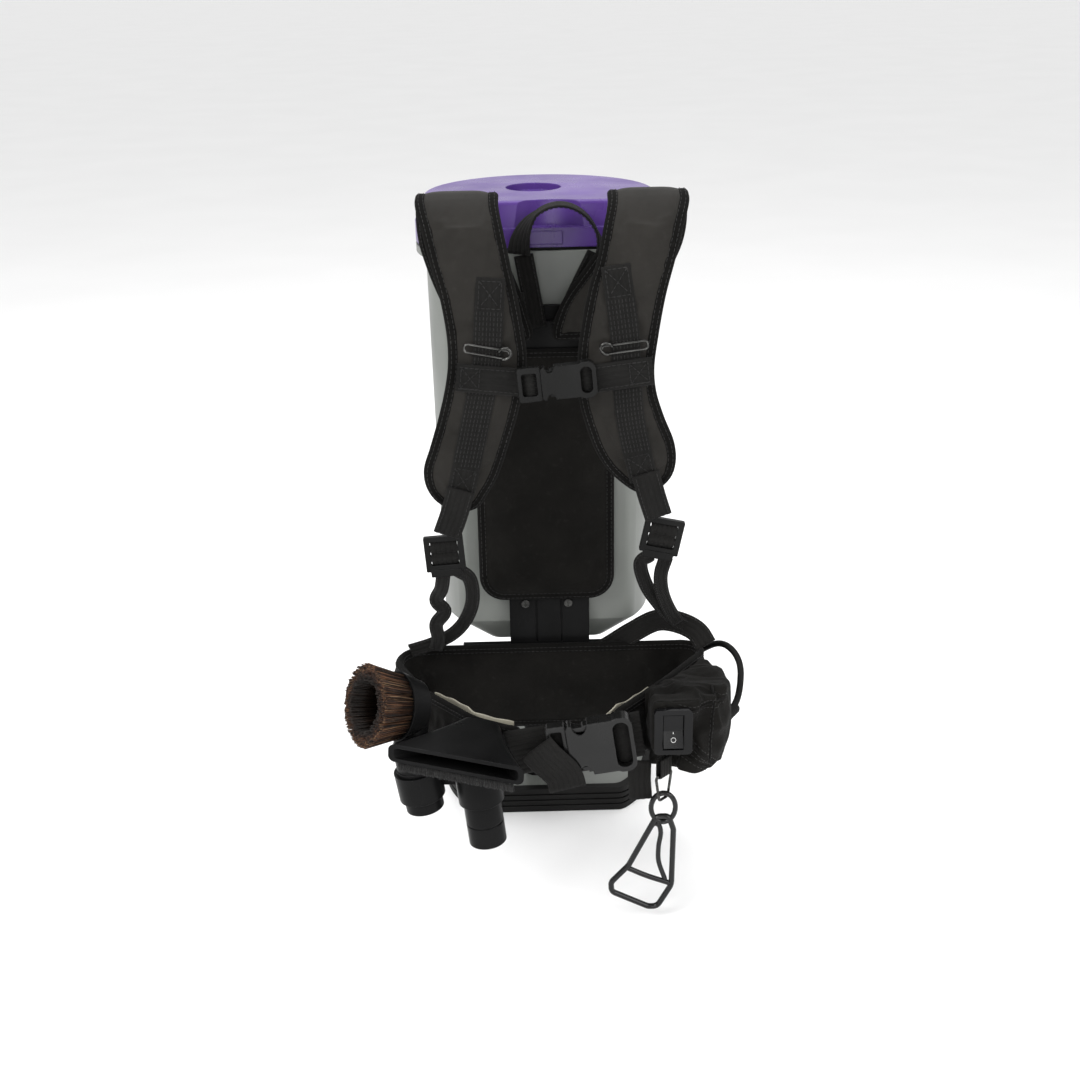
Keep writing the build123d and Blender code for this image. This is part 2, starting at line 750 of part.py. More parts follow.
# ============================ switch pod and switch ==========================
pod_left = 87.0
with BuildPart() as switch_pod:
    with BuildSketch(Plane.XY.offset(80)):
        with BuildLine():
            Polyline(
                (pod_left, -190), (pod_left, switch_y), (132, switch_y), (154, -262),
                (166, -222), (166, -165), (158, -125), (140, -125), close=True,
            )
        make_face()
        add(belt_outline(gap), mode=Mode.SUBTRACT)
    extrude(amount=200)
    with BuildSketch(Plane.YZ):
        with BuildLine():
            Polyline(
                (-120, 132), (-120, 198), (-150, 203), (-200, 217), (-282, 231),
                (-282, 157), (-230, 150), (-160, 130), close=True,
            )
        make_face()
    extrude(amount=300, mode=Mode.INTERSECT)
    block((switch_x - 12, switch_x + 12), (-290, -260), (switch_z - 20, switch_z + 20),
          Mode.SUBTRACT)
    # notch over the webbing loop that carries the cord hook
    block((pod_left - 1, link_x + 14), (-290, -262), (100, 174.5), Mode.SUBTRACT)
save(switch_pod, "switch_pod")

switch_plane = Plane(origin=(switch_x, switch_y, switch_z), x_dir=(1, 0, 0), z_dir=(0, -1, 0))
pin_radius = 1.5
with BuildPart(switch_plane) as switch_housing:
    slab((-17, 17), (-22, 22), (0, 5.5))
    fillet(switch_housing.edges().filter_by(Axis.Y), 4)
    slab((-11, 11), (-19, 19), (-12, 0))
    slab((-9.4, 9.4), (-17.4, 17.4), (-10.5, 6), Mode.SUBTRACT)
    with Locations((0, 0, -2)):
        Cylinder(pin_radius + 0.05, 22, rotation=(0, 90, 0), mode=Mode.SUBTRACT)
save(switch_housing, "switch_housing")

with BuildPart(switch_plane) as switch_contacts:
    for level in (-11, 11):
        slab((-3, 3), (level - 1.5, level + 1.5), (-10.5, -8))
save(switch_contacts, "switch_contacts")

rest_tilt = 8.0
rocker_plane = Plane(
    origin=(switch_x, switch_y + 2, switch_z), x_dir=(1, 0, 0),
    z_dir=(0, -cos(radians(rest_tilt)), sin(radians(rest_tilt))),
)
with BuildPart() as rocker:
    with BuildSketch(Plane(origin=rocker_plane.origin, x_dir=rocker_plane.z_dir,
                           z_dir=(1, 0, 0))):
        with BuildLine():
            Polyline((5, 0), (8.5, 15.5), (1, 15), (-3, 0), (1, -15), (8.5, -15.5),
                     close=True)
        make_face()
    extrude(amount=8.8, both=True)
    with Locations(rocker_plane):
        Cylinder(pin_radius, 21.8, rotation=(0, 90, 0))
save(rocker, "switch_rocker")

# ============================ captive switch cable ===========================
cable_radius = 3.25
cable_points = [
    (34, -30, 128), (74, -30, 128), (118, -50, 150), (153, -72, 178),
    (174, -98, 203), (190, -122, 193), (187, -142, 168), (178, -158, 156),
    (169, -169, 156),
]
runs = [Vector(*b) - Vector(*a) for a, b in zip(cable_points, cable_points[1:])]
cable_arcs = [
    0.45 * min(a.length, b.length) / tan(radians(a.get_angle(b)) / 2)
    for a, b in zip(runs, runs[1:])
]
print("cable radii", [round(r, 1) for r in cable_arcs])
with BuildPart() as switch_cable:
    with BuildLine() as cable_route:
        FilletPolyline(*cable_points, radius=cable_arcs)
    with BuildSketch(Plane(origin=cable_points[0], z_dir=runs[0].normalized())):
        Circle(cable_radius)
    sweep()
print("cable length", round(cable_route.wires()[0].length, 1), "volume ratio",
      round(switch_cable.part.volume / (pi * cable_radius**2 * cable_route.wires()[0].length), 4))
save(switch_cable, "switch_cable")

with BuildPart(Plane(origin=cable_points[0], z_dir=(1, 0, 0))) as cable_gland:
    Cylinder(6, cable_points[0][0] - neck_width / 2,
             align=(Align.CENTER, Align.CENTER, Align.MAX))
    Cylinder(4.5, 6, align=(Align.CENTER, Align.CENTER, Align.MIN))
    Cylinder(cable_radius, 7, align=(Align.CENTER, Align.CENTER, Align.MIN),
             mode=Mode.SUBTRACT)
save(cable_gland, "cable_gland")

# ============================ tool holder ====================================
def on_axis(axis, bands, mode=Mode.ADD):
    """Cylinders on a tool's axis, each a (low, high, radius) measured along it."""
    with BuildPart(axis, mode=Mode.PRIVATE) as stack:
        for low, high, radius in bands:
            disc(low, high, radius)
    add(stack.part, mode=mode)


holder_fit, ring_wall, holder_back, holder_front = 0.4, 3.6, -268.3, -271.0
holder_rings = ((upholstery_axis, -5, 22), (brush_axis, 0, 27))
with BuildPart() as tool_holder:
    block((-137, -42), (holder_front, holder_back), (148, 198))
    for axis, low, high in holder_rings:
        on_axis(axis, [(low, high, tube_radius + ring_wall)])
        with BuildPart(axis, mode=Mode.PRIVATE) as ring_arm:
            block((-12, 12), (0, holder_back - axis.origin.Y), (low, high))
        add(ring_arm.part)
    for axis, low, high in holder_rings:
        on_axis(axis, [(low - 5, high + 5, tube_radius + holder_fit)], Mode.SUBTRACT)
save(tool_holder, "tool_holder")

# ============================ upholstery tool ================================
head_plane = Plane(Location((-69, -291, 199), (0, 4, -16)))
mouth_reach, mouth_half, mouth_height = 60.0, 60.0, 17.0


def head_section(distance, width, height, level):
    """A rounded section of the tool's head, facing along its reach."""
    section_plane = Plane(
        origin=head_plane.from_local_coords(Vector(0, -distance, level)),
        x_dir=head_plane.x_dir, z_dir=-head_plane.y_dir,
    )
    with BuildSketch(section_plane) as section:
        RectangleRounded(width, height, min(width, height) * 0.35)
    return section.sketch.face()


tube_low, collar_low, tube_top, tube_wall = -48.0, 22.4, 54.0, 2.5
with BuildPart() as upholstery_tool:
    on_axis(upholstery_axis, [
        (tube_low, tube_top, tube_radius), (collar_low, tube_top, tube_radius + 2.4),
    ])
    loft([
        head_section(-14, 38, 26, 6), head_section(22, 70, 24, 10),
        head_section(mouth_reach, 2 * mouth_half, mouth_height, 14),
    ])
    loft([
        head_section(0, 24, 16, 5),
        head_section(mouth_reach + 1, 2 * mouth_half - 8, 10, 14),
    ], mode=Mode.SUBTRACT)
    on_axis(upholstery_axis, [(tube_low - 3, tube_top - 4, tube_radius - tube_wall)],
            Mode.SUBTRACT)
    with BuildSketch(upholstery_axis.offset(-28)) as seam:
        Circle(tube_radius + 1)
        Circle(tube_radius - 0.8, mode=Mode.SUBTRACT)
    extrude(seam.sketch, amount=1.5, mode=Mode.SUBTRACT)
save(upholstery_tool, "upholstery_tool")

with BuildPart(head_plane) as lint_strip:
    slab((8 - mouth_half, mouth_half - 8), (-mouth_reach, -mouth_reach + 3), (0.2, 4.4))
save(lint_strip, "lint_strip")

# ============================ dust brush =====================================
brush_dir = Vector(-0.808, -0.505, 0.303).normalized()
brush_face = Vector(-165, -298, 245)
brush_head = Plane(origin=brush_face, z_dir=brush_dir)
bristle_out, bristle_root, bristle_in, bristle_length = 37.0, 29.0, 20.0, 34.0
ferrule_length = 22.0
elbow_height = 48.0
elbow = brush_axis.from_local_coords(Vector(0, 0, elbow_height))
elbow_run = brush_face - brush_dir * (bristle_length + ferrule_length - 2) - elbow
with BuildPart() as dust_brush:
    with Locations(brush_head.offset(-bristle_length)):
        Cone(31, 23, ferrule_length, rotation=(180, 0, 0),
             align=(Align.CENTER, Align.CENTER, Align.MIN))
    on_axis(brush_axis, [
        (-12, elbow_height, tube_radius), (27.4, 30.4, tube_radius + 0.9),
    ])
    with Locations(tuple(elbow)):
        Sphere(tube_radius)
    with Locations(Plane(origin=elbow, z_dir=elbow_run.normalized())):
        Cylinder(13, elbow_run.length, align=(Align.CENTER, Align.CENTER, Align.MIN))
    on_axis(brush_axis, [(-18, elbow_height, tube_radius - tube_wall)], Mode.SUBTRACT)
    with Locations(brush_head.offset(-bristle_length)):
        Cylinder(12, 16, rotation=(180, 0, 0),
                 align=(Align.CENTER, Align.CENTER, Align.MIN), mode=Mode.SUBTRACT)
save(dust_brush, "dust_brush")

with BuildPart() as brush_bristles:
    with Locations(brush_head.offset(-bristle_length)):
        Cone(bristle_root, bristle_out, bristle_length,
             align=(Align.CENTER, Align.CENTER, Align.MIN))
        Cone(14, bristle_in, bristle_length + 0.01,
             align=(Align.CENTER, Align.CENTER, Align.MIN), mode=Mode.SUBTRACT)
save(brush_bristles, "brush_bristles")

# ============================ cord hook ======================================
hang_y = -276.0
wire = 1.3
link_bar_z, link_low_z = 157.0, 131.0
link_dir = Vector(cos(radians(45)), sin(radians(45)), 0)
across = Vector(-link_dir.Y, link_dir.X, 0)
with BuildPart() as hook_web:
    with BuildSketch(Plane(origin=Vector(link_x, hang_y, link_bar_z) - link_dir * 8,
                           x_dir=across, z_dir=link_dir)):
        Circle(wire + 0.35 + 1.5)
        with Locations((0, 8.5)):
            Rectangle(2 * (wire + 1.85), 17)
        Circle(wire + 0.35, mode=Mode.SUBTRACT)
        with Locations((0, 6)):
            Rectangle(2 * (wire + 0.35), 12, mode=Mode.SUBTRACT)
    extrude(amount=16)
save(hook_web, "hook_web")

link_plane = Plane(origin=(link_x, hang_y, link_low_z), x_dir=link_dir,
                   z_dir=across * -1)
with BuildPart() as hook_link:
    with BuildLine(link_plane) as link_path:
        FilletPolyline((-11, 26), (-6, 0), (6, 0), (11, 26), radius=3, close=True)
    with BuildSketch(Plane(origin=link_path.wires()[0] @ 0,
                           z_dir=link_path.wires()[0] % 0)):
        Circle(wire)
    sweep(path=link_path.wires()[0])
save(hook_link, "hook_link")

eye_wide, eye_tall, eye_rim, hook_thick = 13.0, 17.0, 3.8, 4.0
eye_z = link_low_z + wire + 2.2 - (eye_tall - eye_rim)
with BuildPart() as cord_hook:
    with BuildSketch(Plane.XZ.offset(-hang_y - hook_thick / 2)) as hook_shape:
        with BuildLine():
            Polyline((88, 114), (66, 63), (49, 43), (49, 33), (56, 26), (85, 13), (95, 12),
                     (110, 38), (111, 100), (104, 116), close=True)
        make_face()
        fillet(hook_shape.vertices().filter_by(lambda v: v.Z < 60), 4)
        with Locations((link_x, eye_z)):
            Ellipse(eye_wide, eye_tall)
        for window in (
            [(57, 38), (68, 52), (100, 37), (91, 20), (86, 20)],
            [(74, 60), (89, 103), (92, 100), (93, 72), (97, 48)],
            [(97, 101), (104.5, 100), (104, 44), (102, 46), (98.5, 74)],
        ):
            with BuildLine():
                Polyline(window, close=True)
            make_face(mode=Mode.SUBTRACT)
        with Locations((link_x, eye_z)):
            Ellipse(eye_wide - eye_rim, eye_tall - eye_rim, mode=Mode.SUBTRACT)
    extrude(amount=hook_thick)
save(cord_hook, "cord_hook")
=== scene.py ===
import bpy
import bmesh
import random
from math import atan2, cos, hypot, pi, radians, sin, sqrt

import numpy as np
from mathutils import Matrix, Vector, noise


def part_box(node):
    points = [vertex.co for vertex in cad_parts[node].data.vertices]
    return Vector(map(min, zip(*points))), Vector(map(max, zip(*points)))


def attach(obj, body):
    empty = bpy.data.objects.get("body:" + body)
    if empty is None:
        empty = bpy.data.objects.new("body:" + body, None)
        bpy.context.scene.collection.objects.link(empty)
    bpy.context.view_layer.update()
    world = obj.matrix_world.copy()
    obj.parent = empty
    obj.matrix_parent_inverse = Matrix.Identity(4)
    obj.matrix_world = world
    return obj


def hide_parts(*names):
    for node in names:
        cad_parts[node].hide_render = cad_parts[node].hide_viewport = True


# Backpack vacuum cleaner. Lengths are in metres unless a name or a comment says
# millimetres. The harness side faces -Y and +X is the viewer's right.

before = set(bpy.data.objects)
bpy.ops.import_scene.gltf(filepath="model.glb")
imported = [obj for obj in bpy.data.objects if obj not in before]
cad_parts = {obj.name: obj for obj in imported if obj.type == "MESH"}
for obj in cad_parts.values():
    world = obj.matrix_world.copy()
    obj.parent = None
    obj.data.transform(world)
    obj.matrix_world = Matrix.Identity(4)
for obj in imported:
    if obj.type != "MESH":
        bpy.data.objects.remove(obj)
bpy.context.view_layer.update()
MM = 0.001
FRONT = (0, -1, 0)


def added(name, data):
    """A new object in the scene."""
    obj = bpy.data.objects.new(name, data)
    bpy.context.scene.collection.objects.link(obj)
    return obj


def box_of(node):
    """Low and high corner of a CAD node's box."""
    return [np.array(corner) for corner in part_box(node)]


# ============================ camera =========================================
yaw, pitch, roll = radians(0.70), radians(21.84), radians(-1.10)
ahead = Vector((sin(yaw) * cos(pitch), cos(yaw) * cos(pitch), -sin(pitch)))
level = Vector((cos(yaw), -sin(yaw), 0))
upward = level.cross(ahead)
side = level * cos(roll) + upward * sin(roll)
top = -level * sin(roll) + upward * cos(roll)
lens = bpy.data.cameras.new("camera")
lens.lens, lens.sensor_width = 50, 36
camera = added("camera", lens)
place = Matrix((side, top, -ahead)).transposed().to_4x4()
place.translation = (-0.023, -1.452, 0.858)
camera.matrix_world = place
bpy.context.scene.camera = camera


# ============================ light ==========================================
def softbox(name, spot, target, size, power):
    """A square area lamp at a spot, facing a target."""
    lamp = bpy.data.lights.new(name, "AREA")
    lamp.shape, lamp.size, lamp.energy = "SQUARE", size, power
    holder = added(name, lamp)
    holder.location = spot
    aim = Vector(target) - Vector(spot)
    holder.rotation_euler = aim.to_track_quat("-Z", "Y").to_euler()


softbox("key", (-1.5, -1.7, 2.0), (0, -0.1, 0.35), 1.2, 46)
softbox("fill", (1.7, -1.5, 1.1), (0, -0.1, 0.3), 1.4, 26)
softbox("overhead", (0.1, 0.3, 2.3), (0, 0, 0.4), 1.6, 34)
softbox("low_front", (-0.2, -2.2, 0.35), (0, -0.2, 0.25), 1.0, 12)

bpy.context.scene.view_settings.view_transform = "Standard"
sky = bpy.data.worlds.new("room")
bpy.context.scene.world = sky
sky.use_nodes = True
sky.node_tree.nodes["Background"].inputs["Color"].default_value = (1, 1, 1, 1)
sky.node_tree.nodes["Background"].inputs["Strength"].default_value = 0.9


# ============================ materials ======================================
class Paint:
    """A Principled material and short ways to add nodes to it."""

    def __init__(self, name, roughness=0.5, **settings):
        self.material = bpy.data.materials.new(name)
        self.material.use_nodes = True
        self.tree = self.material.node_tree
        self.shader = self.tree.nodes["Principled BSDF"]
        self.shader.inputs["Roughness"].default_value = roughness
        for socket, value in settings.items():
            self.shader.inputs[socket.replace("_", " ")].default_value = value

    def add(self, kind, inputs=(), **props):
        node = self.tree.nodes.new("ShaderNode" + kind)
        for name, value in props.items():
            setattr(node, name, value)
        for socket, value in dict(inputs).items():
            if isinstance(value, bpy.types.NodeSocket):
                self.tree.links.new(value, node.inputs[socket])
            else:
                node.inputs[socket].default_value = value
        return node

    def math(self, operation, first, second=0.0):
        return self.add("Math", {0: first, 1: second}, operation=operation).outputs[0]

    def place(self, space="Object"):
        return self.add("TexCoord").outputs[space]

    def apart(self):
        """The piece's own UV, in metres, as two outputs."""
        return self.add("SeparateXYZ", {0: self.place("UV")}).outputs

    def noise(self, scale, detail=2.0, stretch=None):
        spot = self.place()
        if stretch:
            spot = self.add("Mapping", {"Vector": spot, "Scale": stretch}).outputs[0]
        inputs = {"Vector": spot, "Scale": scale, "Detail": detail}
        return self.add("TexNoise", inputs).outputs["Fac"]

    def ramp(self, value, *stops):
        """A colour, or a grey level, for each value between the stops."""
        node = self.add("ValToRGB", {0: value})
        while len(node.color_ramp.elements) < len(stops):
            node.color_ramp.elements.new(0.5)
        for element, (spot, colour) in zip(node.color_ramp.elements, stops):
            element.position = spot
            if not isinstance(colour, tuple):
                colour = (colour, colour, colour)
            element.color = (*colour, 1)
        return node.outputs[0]

    def mix(self, share, first, second, blend="MIX"):
        return self.add("MixRGB", {0: share, 1: first, 2: second}, blend_type=blend).outputs[0]

    def bump(self, height, depth, under=None):
        inputs = {"Height": height, "Distance": depth, "Strength": 1.0}
        if under is not None:
            inputs["Normal"] = under
        return self.add("Bump", inputs).outputs[0]

    def rounded(self, edge):
        return self.add("Bevel", {"Radius": edge}, samples=4).outputs[0]

    def finish(self, colour, roughness=None, normal=None):
        sockets = {"Base Color": colour, "Roughness": roughness, "Normal": normal}
        for socket, value in sockets.items():
            if value is not None:
                self.tree.links.new(value, self.shader.inputs[socket])
        return self.material


def moulded(name, dark, light, worn, rough=(0.3, 0.45), grain=900.0, depth=0.00006,
            edge=0.0012, **settings):
    """Moulded plastic: cloudy colour, fine grain, softened and slightly worn edges."""
    paint = Paint(name, **settings)
    cloud = paint.ramp(paint.noise(14, 5), (0.35, dark), (0.68, light))
    rounded = paint.rounded(edge)
    flat = paint.add("NewGeometry").outputs["Normal"]
    facing = paint.add("VectorMath", {0: rounded, 1: flat}, operation="DOT_PRODUCT")
    corner = paint.ramp(facing.outputs["Value"], (0.82, 1.0), (0.99, 0.0))
    patch = paint.ramp(paint.noise(70, 4), (0.42, 0.0), (0.72, 1.0))
    wear = paint.math("MULTIPLY", corner, patch)
    colour = paint.mix(paint.math("MULTIPLY", wear, 0.55), cloud, (*worn, 1))
    smear = paint.noise(26, 4, (1, 1, 0.35))
    roughness = paint.ramp(smear, (0.36, rough[0]), (0.7, rough[1]))
    skin = paint.bump(paint.noise(grain, 2), depth, rounded)
    return paint.finish(colour, roughness, skin)


def woven(name, dark, light, pitch, depth, dust=(0.2, 0.19, 0.18), rough=(0.75, 0.95),
          twill=False, dusty=0.12, **settings):
    """Cloth: crossing threads laid out by the piece's own UV."""
    paint = Paint(name, **settings)
    spot = paint.apart()
    across = paint.math("MULTIPLY", spot[0], pi / pitch)
    along = paint.math("MULTIPLY", spot[1], pi / pitch)
    if twill:
        across = paint.math("ADD", across, paint.math("MULTIPLY", along, 0.5))
    warp, weft = paint.math("SINE", across), paint.math("SINE", along)
    over = paint.math("GREATER_THAN", paint.math("MULTIPLY", warp, weft), 0.0)
    height = paint.mix(over, paint.math("ABSOLUTE", warp), paint.math("ABSOLUTE", weft))
    fibre = paint.noise(5200, 3)
    height = paint.math("ADD", height, paint.math("MULTIPLY", fibre, 0.35))
    cloud = paint.ramp(paint.noise(24, 5), (0.35, 0.0), (0.7, 1.0))
    yarn = paint.mix(cloud, (*dark, 1), (*light, 1))
    # gaps between the threads darkened: painted shade in the weave
    gap_shade = paint.ramp(height, (0.15, 0.45), (0.75, 1.0))
    lint = paint.ramp(paint.noise(180, 6), (0.6, 0.0), (0.78, dusty))
    colour = paint.mix(lint, paint.mix(1.0, yarn, gap_shade, "MULTIPLY"), (*dust, 1))
    roughness = paint.ramp(fibre, (0.3, rough[0]), (0.7, rough[1]))
    return paint.finish(colour, roughness, paint.bump(height, depth))


def metal(name, colour, dark, rough=(0.22, 0.4)):
    """Metal with faint streaks and rounded corners."""
    paint = Paint(name, Metallic=1.0)
    streak = paint.noise(60, 5, (1, 1, 6))
    tone = paint.ramp(streak, (0.35, dark), (0.7, colour))
    skin = paint.bump(paint.noise(1400, 2), 0.00002, paint.rounded(0.0006))
    return paint.finish(tone, paint.ramp(streak, (0.3, rough[0]), (0.7, rough[1])), skin)


PURPLE = moulded("lid_purple", (0.056, 0.024, 0.150), (0.078, 0.035, 0.198),
                 (0.16, 0.10, 0.42), rough=(0.24, 0.36), grain=700, depth=0.00004,
                 edge=0.0018, Specular_IOR_Level=0.18, Coat_Weight=0.06, Coat_Roughness=0.2)
GREY = moulded("canister_grey", (0.132, 0.140, 0.129), (0.152, 0.160, 0.149),
               (0.25, 0.26, 0.245), rough=(0.38, 0.5), grain=800, depth=0.00007,
               edge=0.0016, Specular_IOR_Level=0.35)
BLACK = moulded("black_moulding", (0.0040, 0.0040, 0.0041), (0.0068, 0.0068, 0.0069),
                (0.030, 0.030, 0.031), rough=(0.26, 0.44), Specular_IOR_Level=0.05)
BUCKLE = moulded("buckle_acetal", (0.0042, 0.0042, 0.0041), (0.0072, 0.0072, 0.0070),
                 (0.034, 0.034, 0.034), rough=(0.2, 0.34), grain=1500, depth=0.00002,
                 Specular_IOR_Level=0.075)
# lighter, glossier copy of the buckle acetal for the waist buckle: its lighter colour is a painted
# highlight
LIT_WAIST_BUCKLE = moulded("waist_buckle_acetal_lit", (0.0048, 0.0048, 0.0047),
                       (0.0085, 0.0085, 0.0083), (0.06, 0.06, 0.06), rough=(0.16, 0.3),
                       depth=0.00003, edge=0.0018, Specular_IOR_Level=0.24)
GLOSS = moulded("switch_gloss", (0.003, 0.003, 0.0032), (0.0045, 0.0045, 0.005),
                (0.03, 0.03, 0.03), rough=(0.07, 0.16), grain=500, depth=0.00001,
                edge=0.0009, Specular_IOR_Level=0.16)
RUBBER = moulded("rubber_black", (0.0042, 0.0042, 0.0040), (0.0075, 0.0073, 0.0070),
                 (0.03, 0.03, 0.03), rough=(0.5, 0.68), grain=1300, depth=0.00008,
                 Specular_IOR_Level=0.1)
KHAKI = moulded("stiffener_khaki", (0.24, 0.225, 0.175), (0.32, 0.30, 0.24),
                (0.5, 0.48, 0.42), rough=(0.45, 0.6))
STEEL = metal("bright_steel", (0.62, 0.62, 0.63), (0.42, 0.42, 0.43))
IRON = metal("motor_iron", (0.22, 0.22, 0.23), (0.12, 0.12, 0.125), (0.4, 0.6))
BRASS = metal("contact_brass", (0.78, 0.58, 0.28), (0.55, 0.38, 0.16))
HOOK = moulded("hook_black", (0.004, 0.004, 0.0042), (0.007, 0.007, 0.0074),
               (0.05, 0.05, 0.05), rough=(0.07, 0.14), grain=420, depth=0.00002,
               edge=0.0006, Specular_IOR_Level=0.26)
WIRE = metal("coated_wire", (0.075, 0.075, 0.072), (0.026, 0.026, 0.025), (0.14, 0.26))
PAD = woven("pad_nylon", (0.0048, 0.0045, 0.0040), (0.0078, 0.0073, 0.0065), 0.00075,
            0.00012, Sheen_Weight=0.02, Sheen_Roughness=0.4, Specular_IOR_Level=0.06,
            dusty=0.02)
STRAP = woven("strap_nylon", (0.0104, 0.0093, 0.0078), (0.0154, 0.0138, 0.0118), 0.0009,
              0.00014, rough=(0.5, 0.7), Sheen_Weight=0.05, Sheen_Roughness=0.35,
              Specular_IOR_Level=0.13, dusty=0.02)
WEBBING = woven("nylon_webbing", (0.0050, 0.0048, 0.0044), (0.0085, 0.0081, 0.0075),
                0.0011, 0.00022, rough=(0.5, 0.75), twill=True, Sheen_Weight=0.03,
                Sheen_Roughness=0.35, Specular_IOR_Level=0.1, dusty=0.02)
BINDING = woven("edge_binding", (0.0036, 0.0034, 0.0031), (0.0056, 0.0053, 0.0049),
                0.0008, 0.00016, Sheen_Weight=0.02, Sheen_Roughness=0.4,
                Specular_IOR_Level=0.06, dusty=0.02)
THREAD = woven("sewing_thread", (0.010, 0.010, 0.010), (0.017, 0.0165, 0.016), 0.0004,
               0.00006, rough=(0.5, 0.7), Sheen_Weight=0.08, Sheen_Roughness=0.3,
               Specular_IOR_Level=0.2)
FILTER = woven("filter_felt", (0.56, 0.55, 0.51), (0.68, 0.67, 0.63), 0.0012, 0.0001,
               dust=(0.4, 0.37, 0.32), Sheen_Weight=0.2)
PAPER = woven("bag_paper", (0.50, 0.41, 0.27), (0.60, 0.50, 0.35), 0.0006, 0.00003,
              dust=(0.35, 0.28, 0.2))
PRINT = moulded("switch_print", (0.55, 0.55, 0.54), (0.68, 0.68, 0.66), (0.8, 0.8, 0.8),
                rough=(0.5, 0.6), depth=0.00001, edge=0.0002)

DRESSED = [
    (PURPLE, "lid"),
    (GREY, "canister foot_plate foot_cover exhaust_grille partition"),
    (BLACK, "neck back_plate spine_plate yoke_plate tool_holder upholstery_tool dust_brush "
            "fan_shroud motor_fan"),
    (BUCKLE, "sternum_buckle_socket sternum_buckle_prongs ladder_locks"),
    (LIT_WAIST_BUCKLE, "waist_buckle_socket waist_buckle_prongs"),
    (GLOSS, "switch_housing switch_rocker"),
    (RUBBER, "foot_bumper motor_seals lid_gasket cable_gland"),
    (STEEL, "motor_bearings motor_can"),
    (IRON, "motor_stator motor_rotor"),
    (BRASS, "switch_contacts"),
    (WIRE, "hook_link spine_screws rivets"),
]
for material, nodes in DRESSED:
    for node in nodes.split():
        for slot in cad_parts[node].material_slots:
            slot.material = material


# ============================ lines and bands ================================
def unit(v):
    v = np.asarray(v, dtype=float)
    return v / np.maximum(np.linalg.norm(v, axis=-1, keepdims=True), 1e-12)


def travel_of(line):
    """Distance along a line at each of its points."""
    return np.concatenate([[0], np.cumsum(np.linalg.norm(np.diff(line, axis=0), axis=1))])


def pick(at, travel, rows):
    """Values given at each point of a line, read at other distances along it."""
    return np.stack([np.interp(at, travel, column) for column in rows.T], -1)


def even_line(points, step, closed=False):
    """The same line with its points evenly spaced."""
    fine = np.array(points)
    run = travel_of(fine)
    total = max(2, int(round(run[-1] / step)))
    return pick(np.linspace(0, run[-1], total + 1)[: total if closed else None], run, fine)


def smooth_line(points, step, closed=False):
    """Points every step along a smooth curve through the given points."""
    given = [np.array(p, dtype=float) for p in points]
    count = len(given)
    fine = []
    for i in range(count if closed else count - 1):
        b, c = given[i], given[(i + 1) % count]
        a = given[i - 1] if closed or i > 0 else 2 * b - c
        d = given[(i + 2) % count] if closed or i + 2 < count else 2 * c - b
        r, s, u = [max(np.linalg.norm(q - p), 1e-9) ** 0.5 for p, q in ((a, b), (b, c), (c, d))]
        before = ((b - a) / r - (c - a) / (r + s) + (c - b) / s) * s
        after = ((c - b) / s - (d - b) / (s + u) + (d - c) / u) * s
        for t in np.linspace(0, 1, 24, endpoint=False):
            fine.append((2 * t**3 - 3 * t**2 + 1) * b + (t**3 - 2 * t**2 + t) * before
                        + (3 * t**2 - 2 * t**3) * c + (t**3 - t**2) * after)
    fine.append(given[0] if closed else given[-1])
    return even_line(fine, step, closed)


def smooth_mm(points, step=0.003):
    """A smooth line through points given in millimetres."""
    return smooth_line(np.array(points) * MM, step)


def closed_line(plan, step):
    """A closed plan with its points evenly spaced."""
    return even_line(np.vstack([plan, plan[:1]]), step, closed=True)


def along_of(line, closed=False):
    """Unit direction of travel at each point of a line."""
    if closed:
        return unit(np.roll(line, -1, axis=0) - np.roll(line, 1, axis=0))
    return unit(np.gradient(line, axis=0))


def oval(wide, deep, count=12):
    """Section of a rod."""
    return [(wide * cos(2 * pi * k / count), deep * sin(2 * pi * k / count))
            for k in range(count)]


def finish_mesh(mesh, material, uv, smooth=True):
    """Gives a mesh its material, its shading and one uv pair for each point."""
    mesh.materials.clear()
    mesh.materials.append(material)
    while mesh.uv_layers:
        mesh.uv_layers.remove(mesh.uv_layers[0])
    index = np.empty(len(mesh.loops), dtype=int)
    mesh.loops.foreach_get("vertex_index", index)
    layer = mesh.uv_layers.new(name="UVMap")
    layer.data.foreach_set("uv", np.asarray(uv, dtype=float)[index].ravel())
    mesh.polygons.foreach_set("use_smooth", [smooth] * len(mesh.polygons))


def piece_from(name, points, faces, uv, material, body="body", smooth=True):
    """A mesh object that rides on a CAD body."""
    mesh = bpy.data.meshes.new(name)
    mesh.from_pydata([tuple(p) for p in points], [], faces)
    mesh.validate()
    finish_mesh(mesh, material, uv, smooth)
    obj = added(name, mesh)
    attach(obj, body)
    return obj


def fitted(piece, slot, *nodes):
    """Hides the CAD nodes that a piece replaces and gives the piece back; slot is not used."""
    if nodes:
        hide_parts(*nodes)
    return piece


def hoops(count, around, closed=False):
    """Faces between rings of points, with a cap at each end of an open run."""
    faces = []
    for i in range(count if closed else count - 1):
        k = (i + 1) % count
        for j in range(around):
            m = (j + 1) % around
            faces.append((i * around + j, i * around + m, k * around + m, k * around + j))
    if not closed:
        faces.append(tuple(range(around))[::-1])
        faces.append(tuple((count - 1) * around + j for j in range(around)))
    return faces


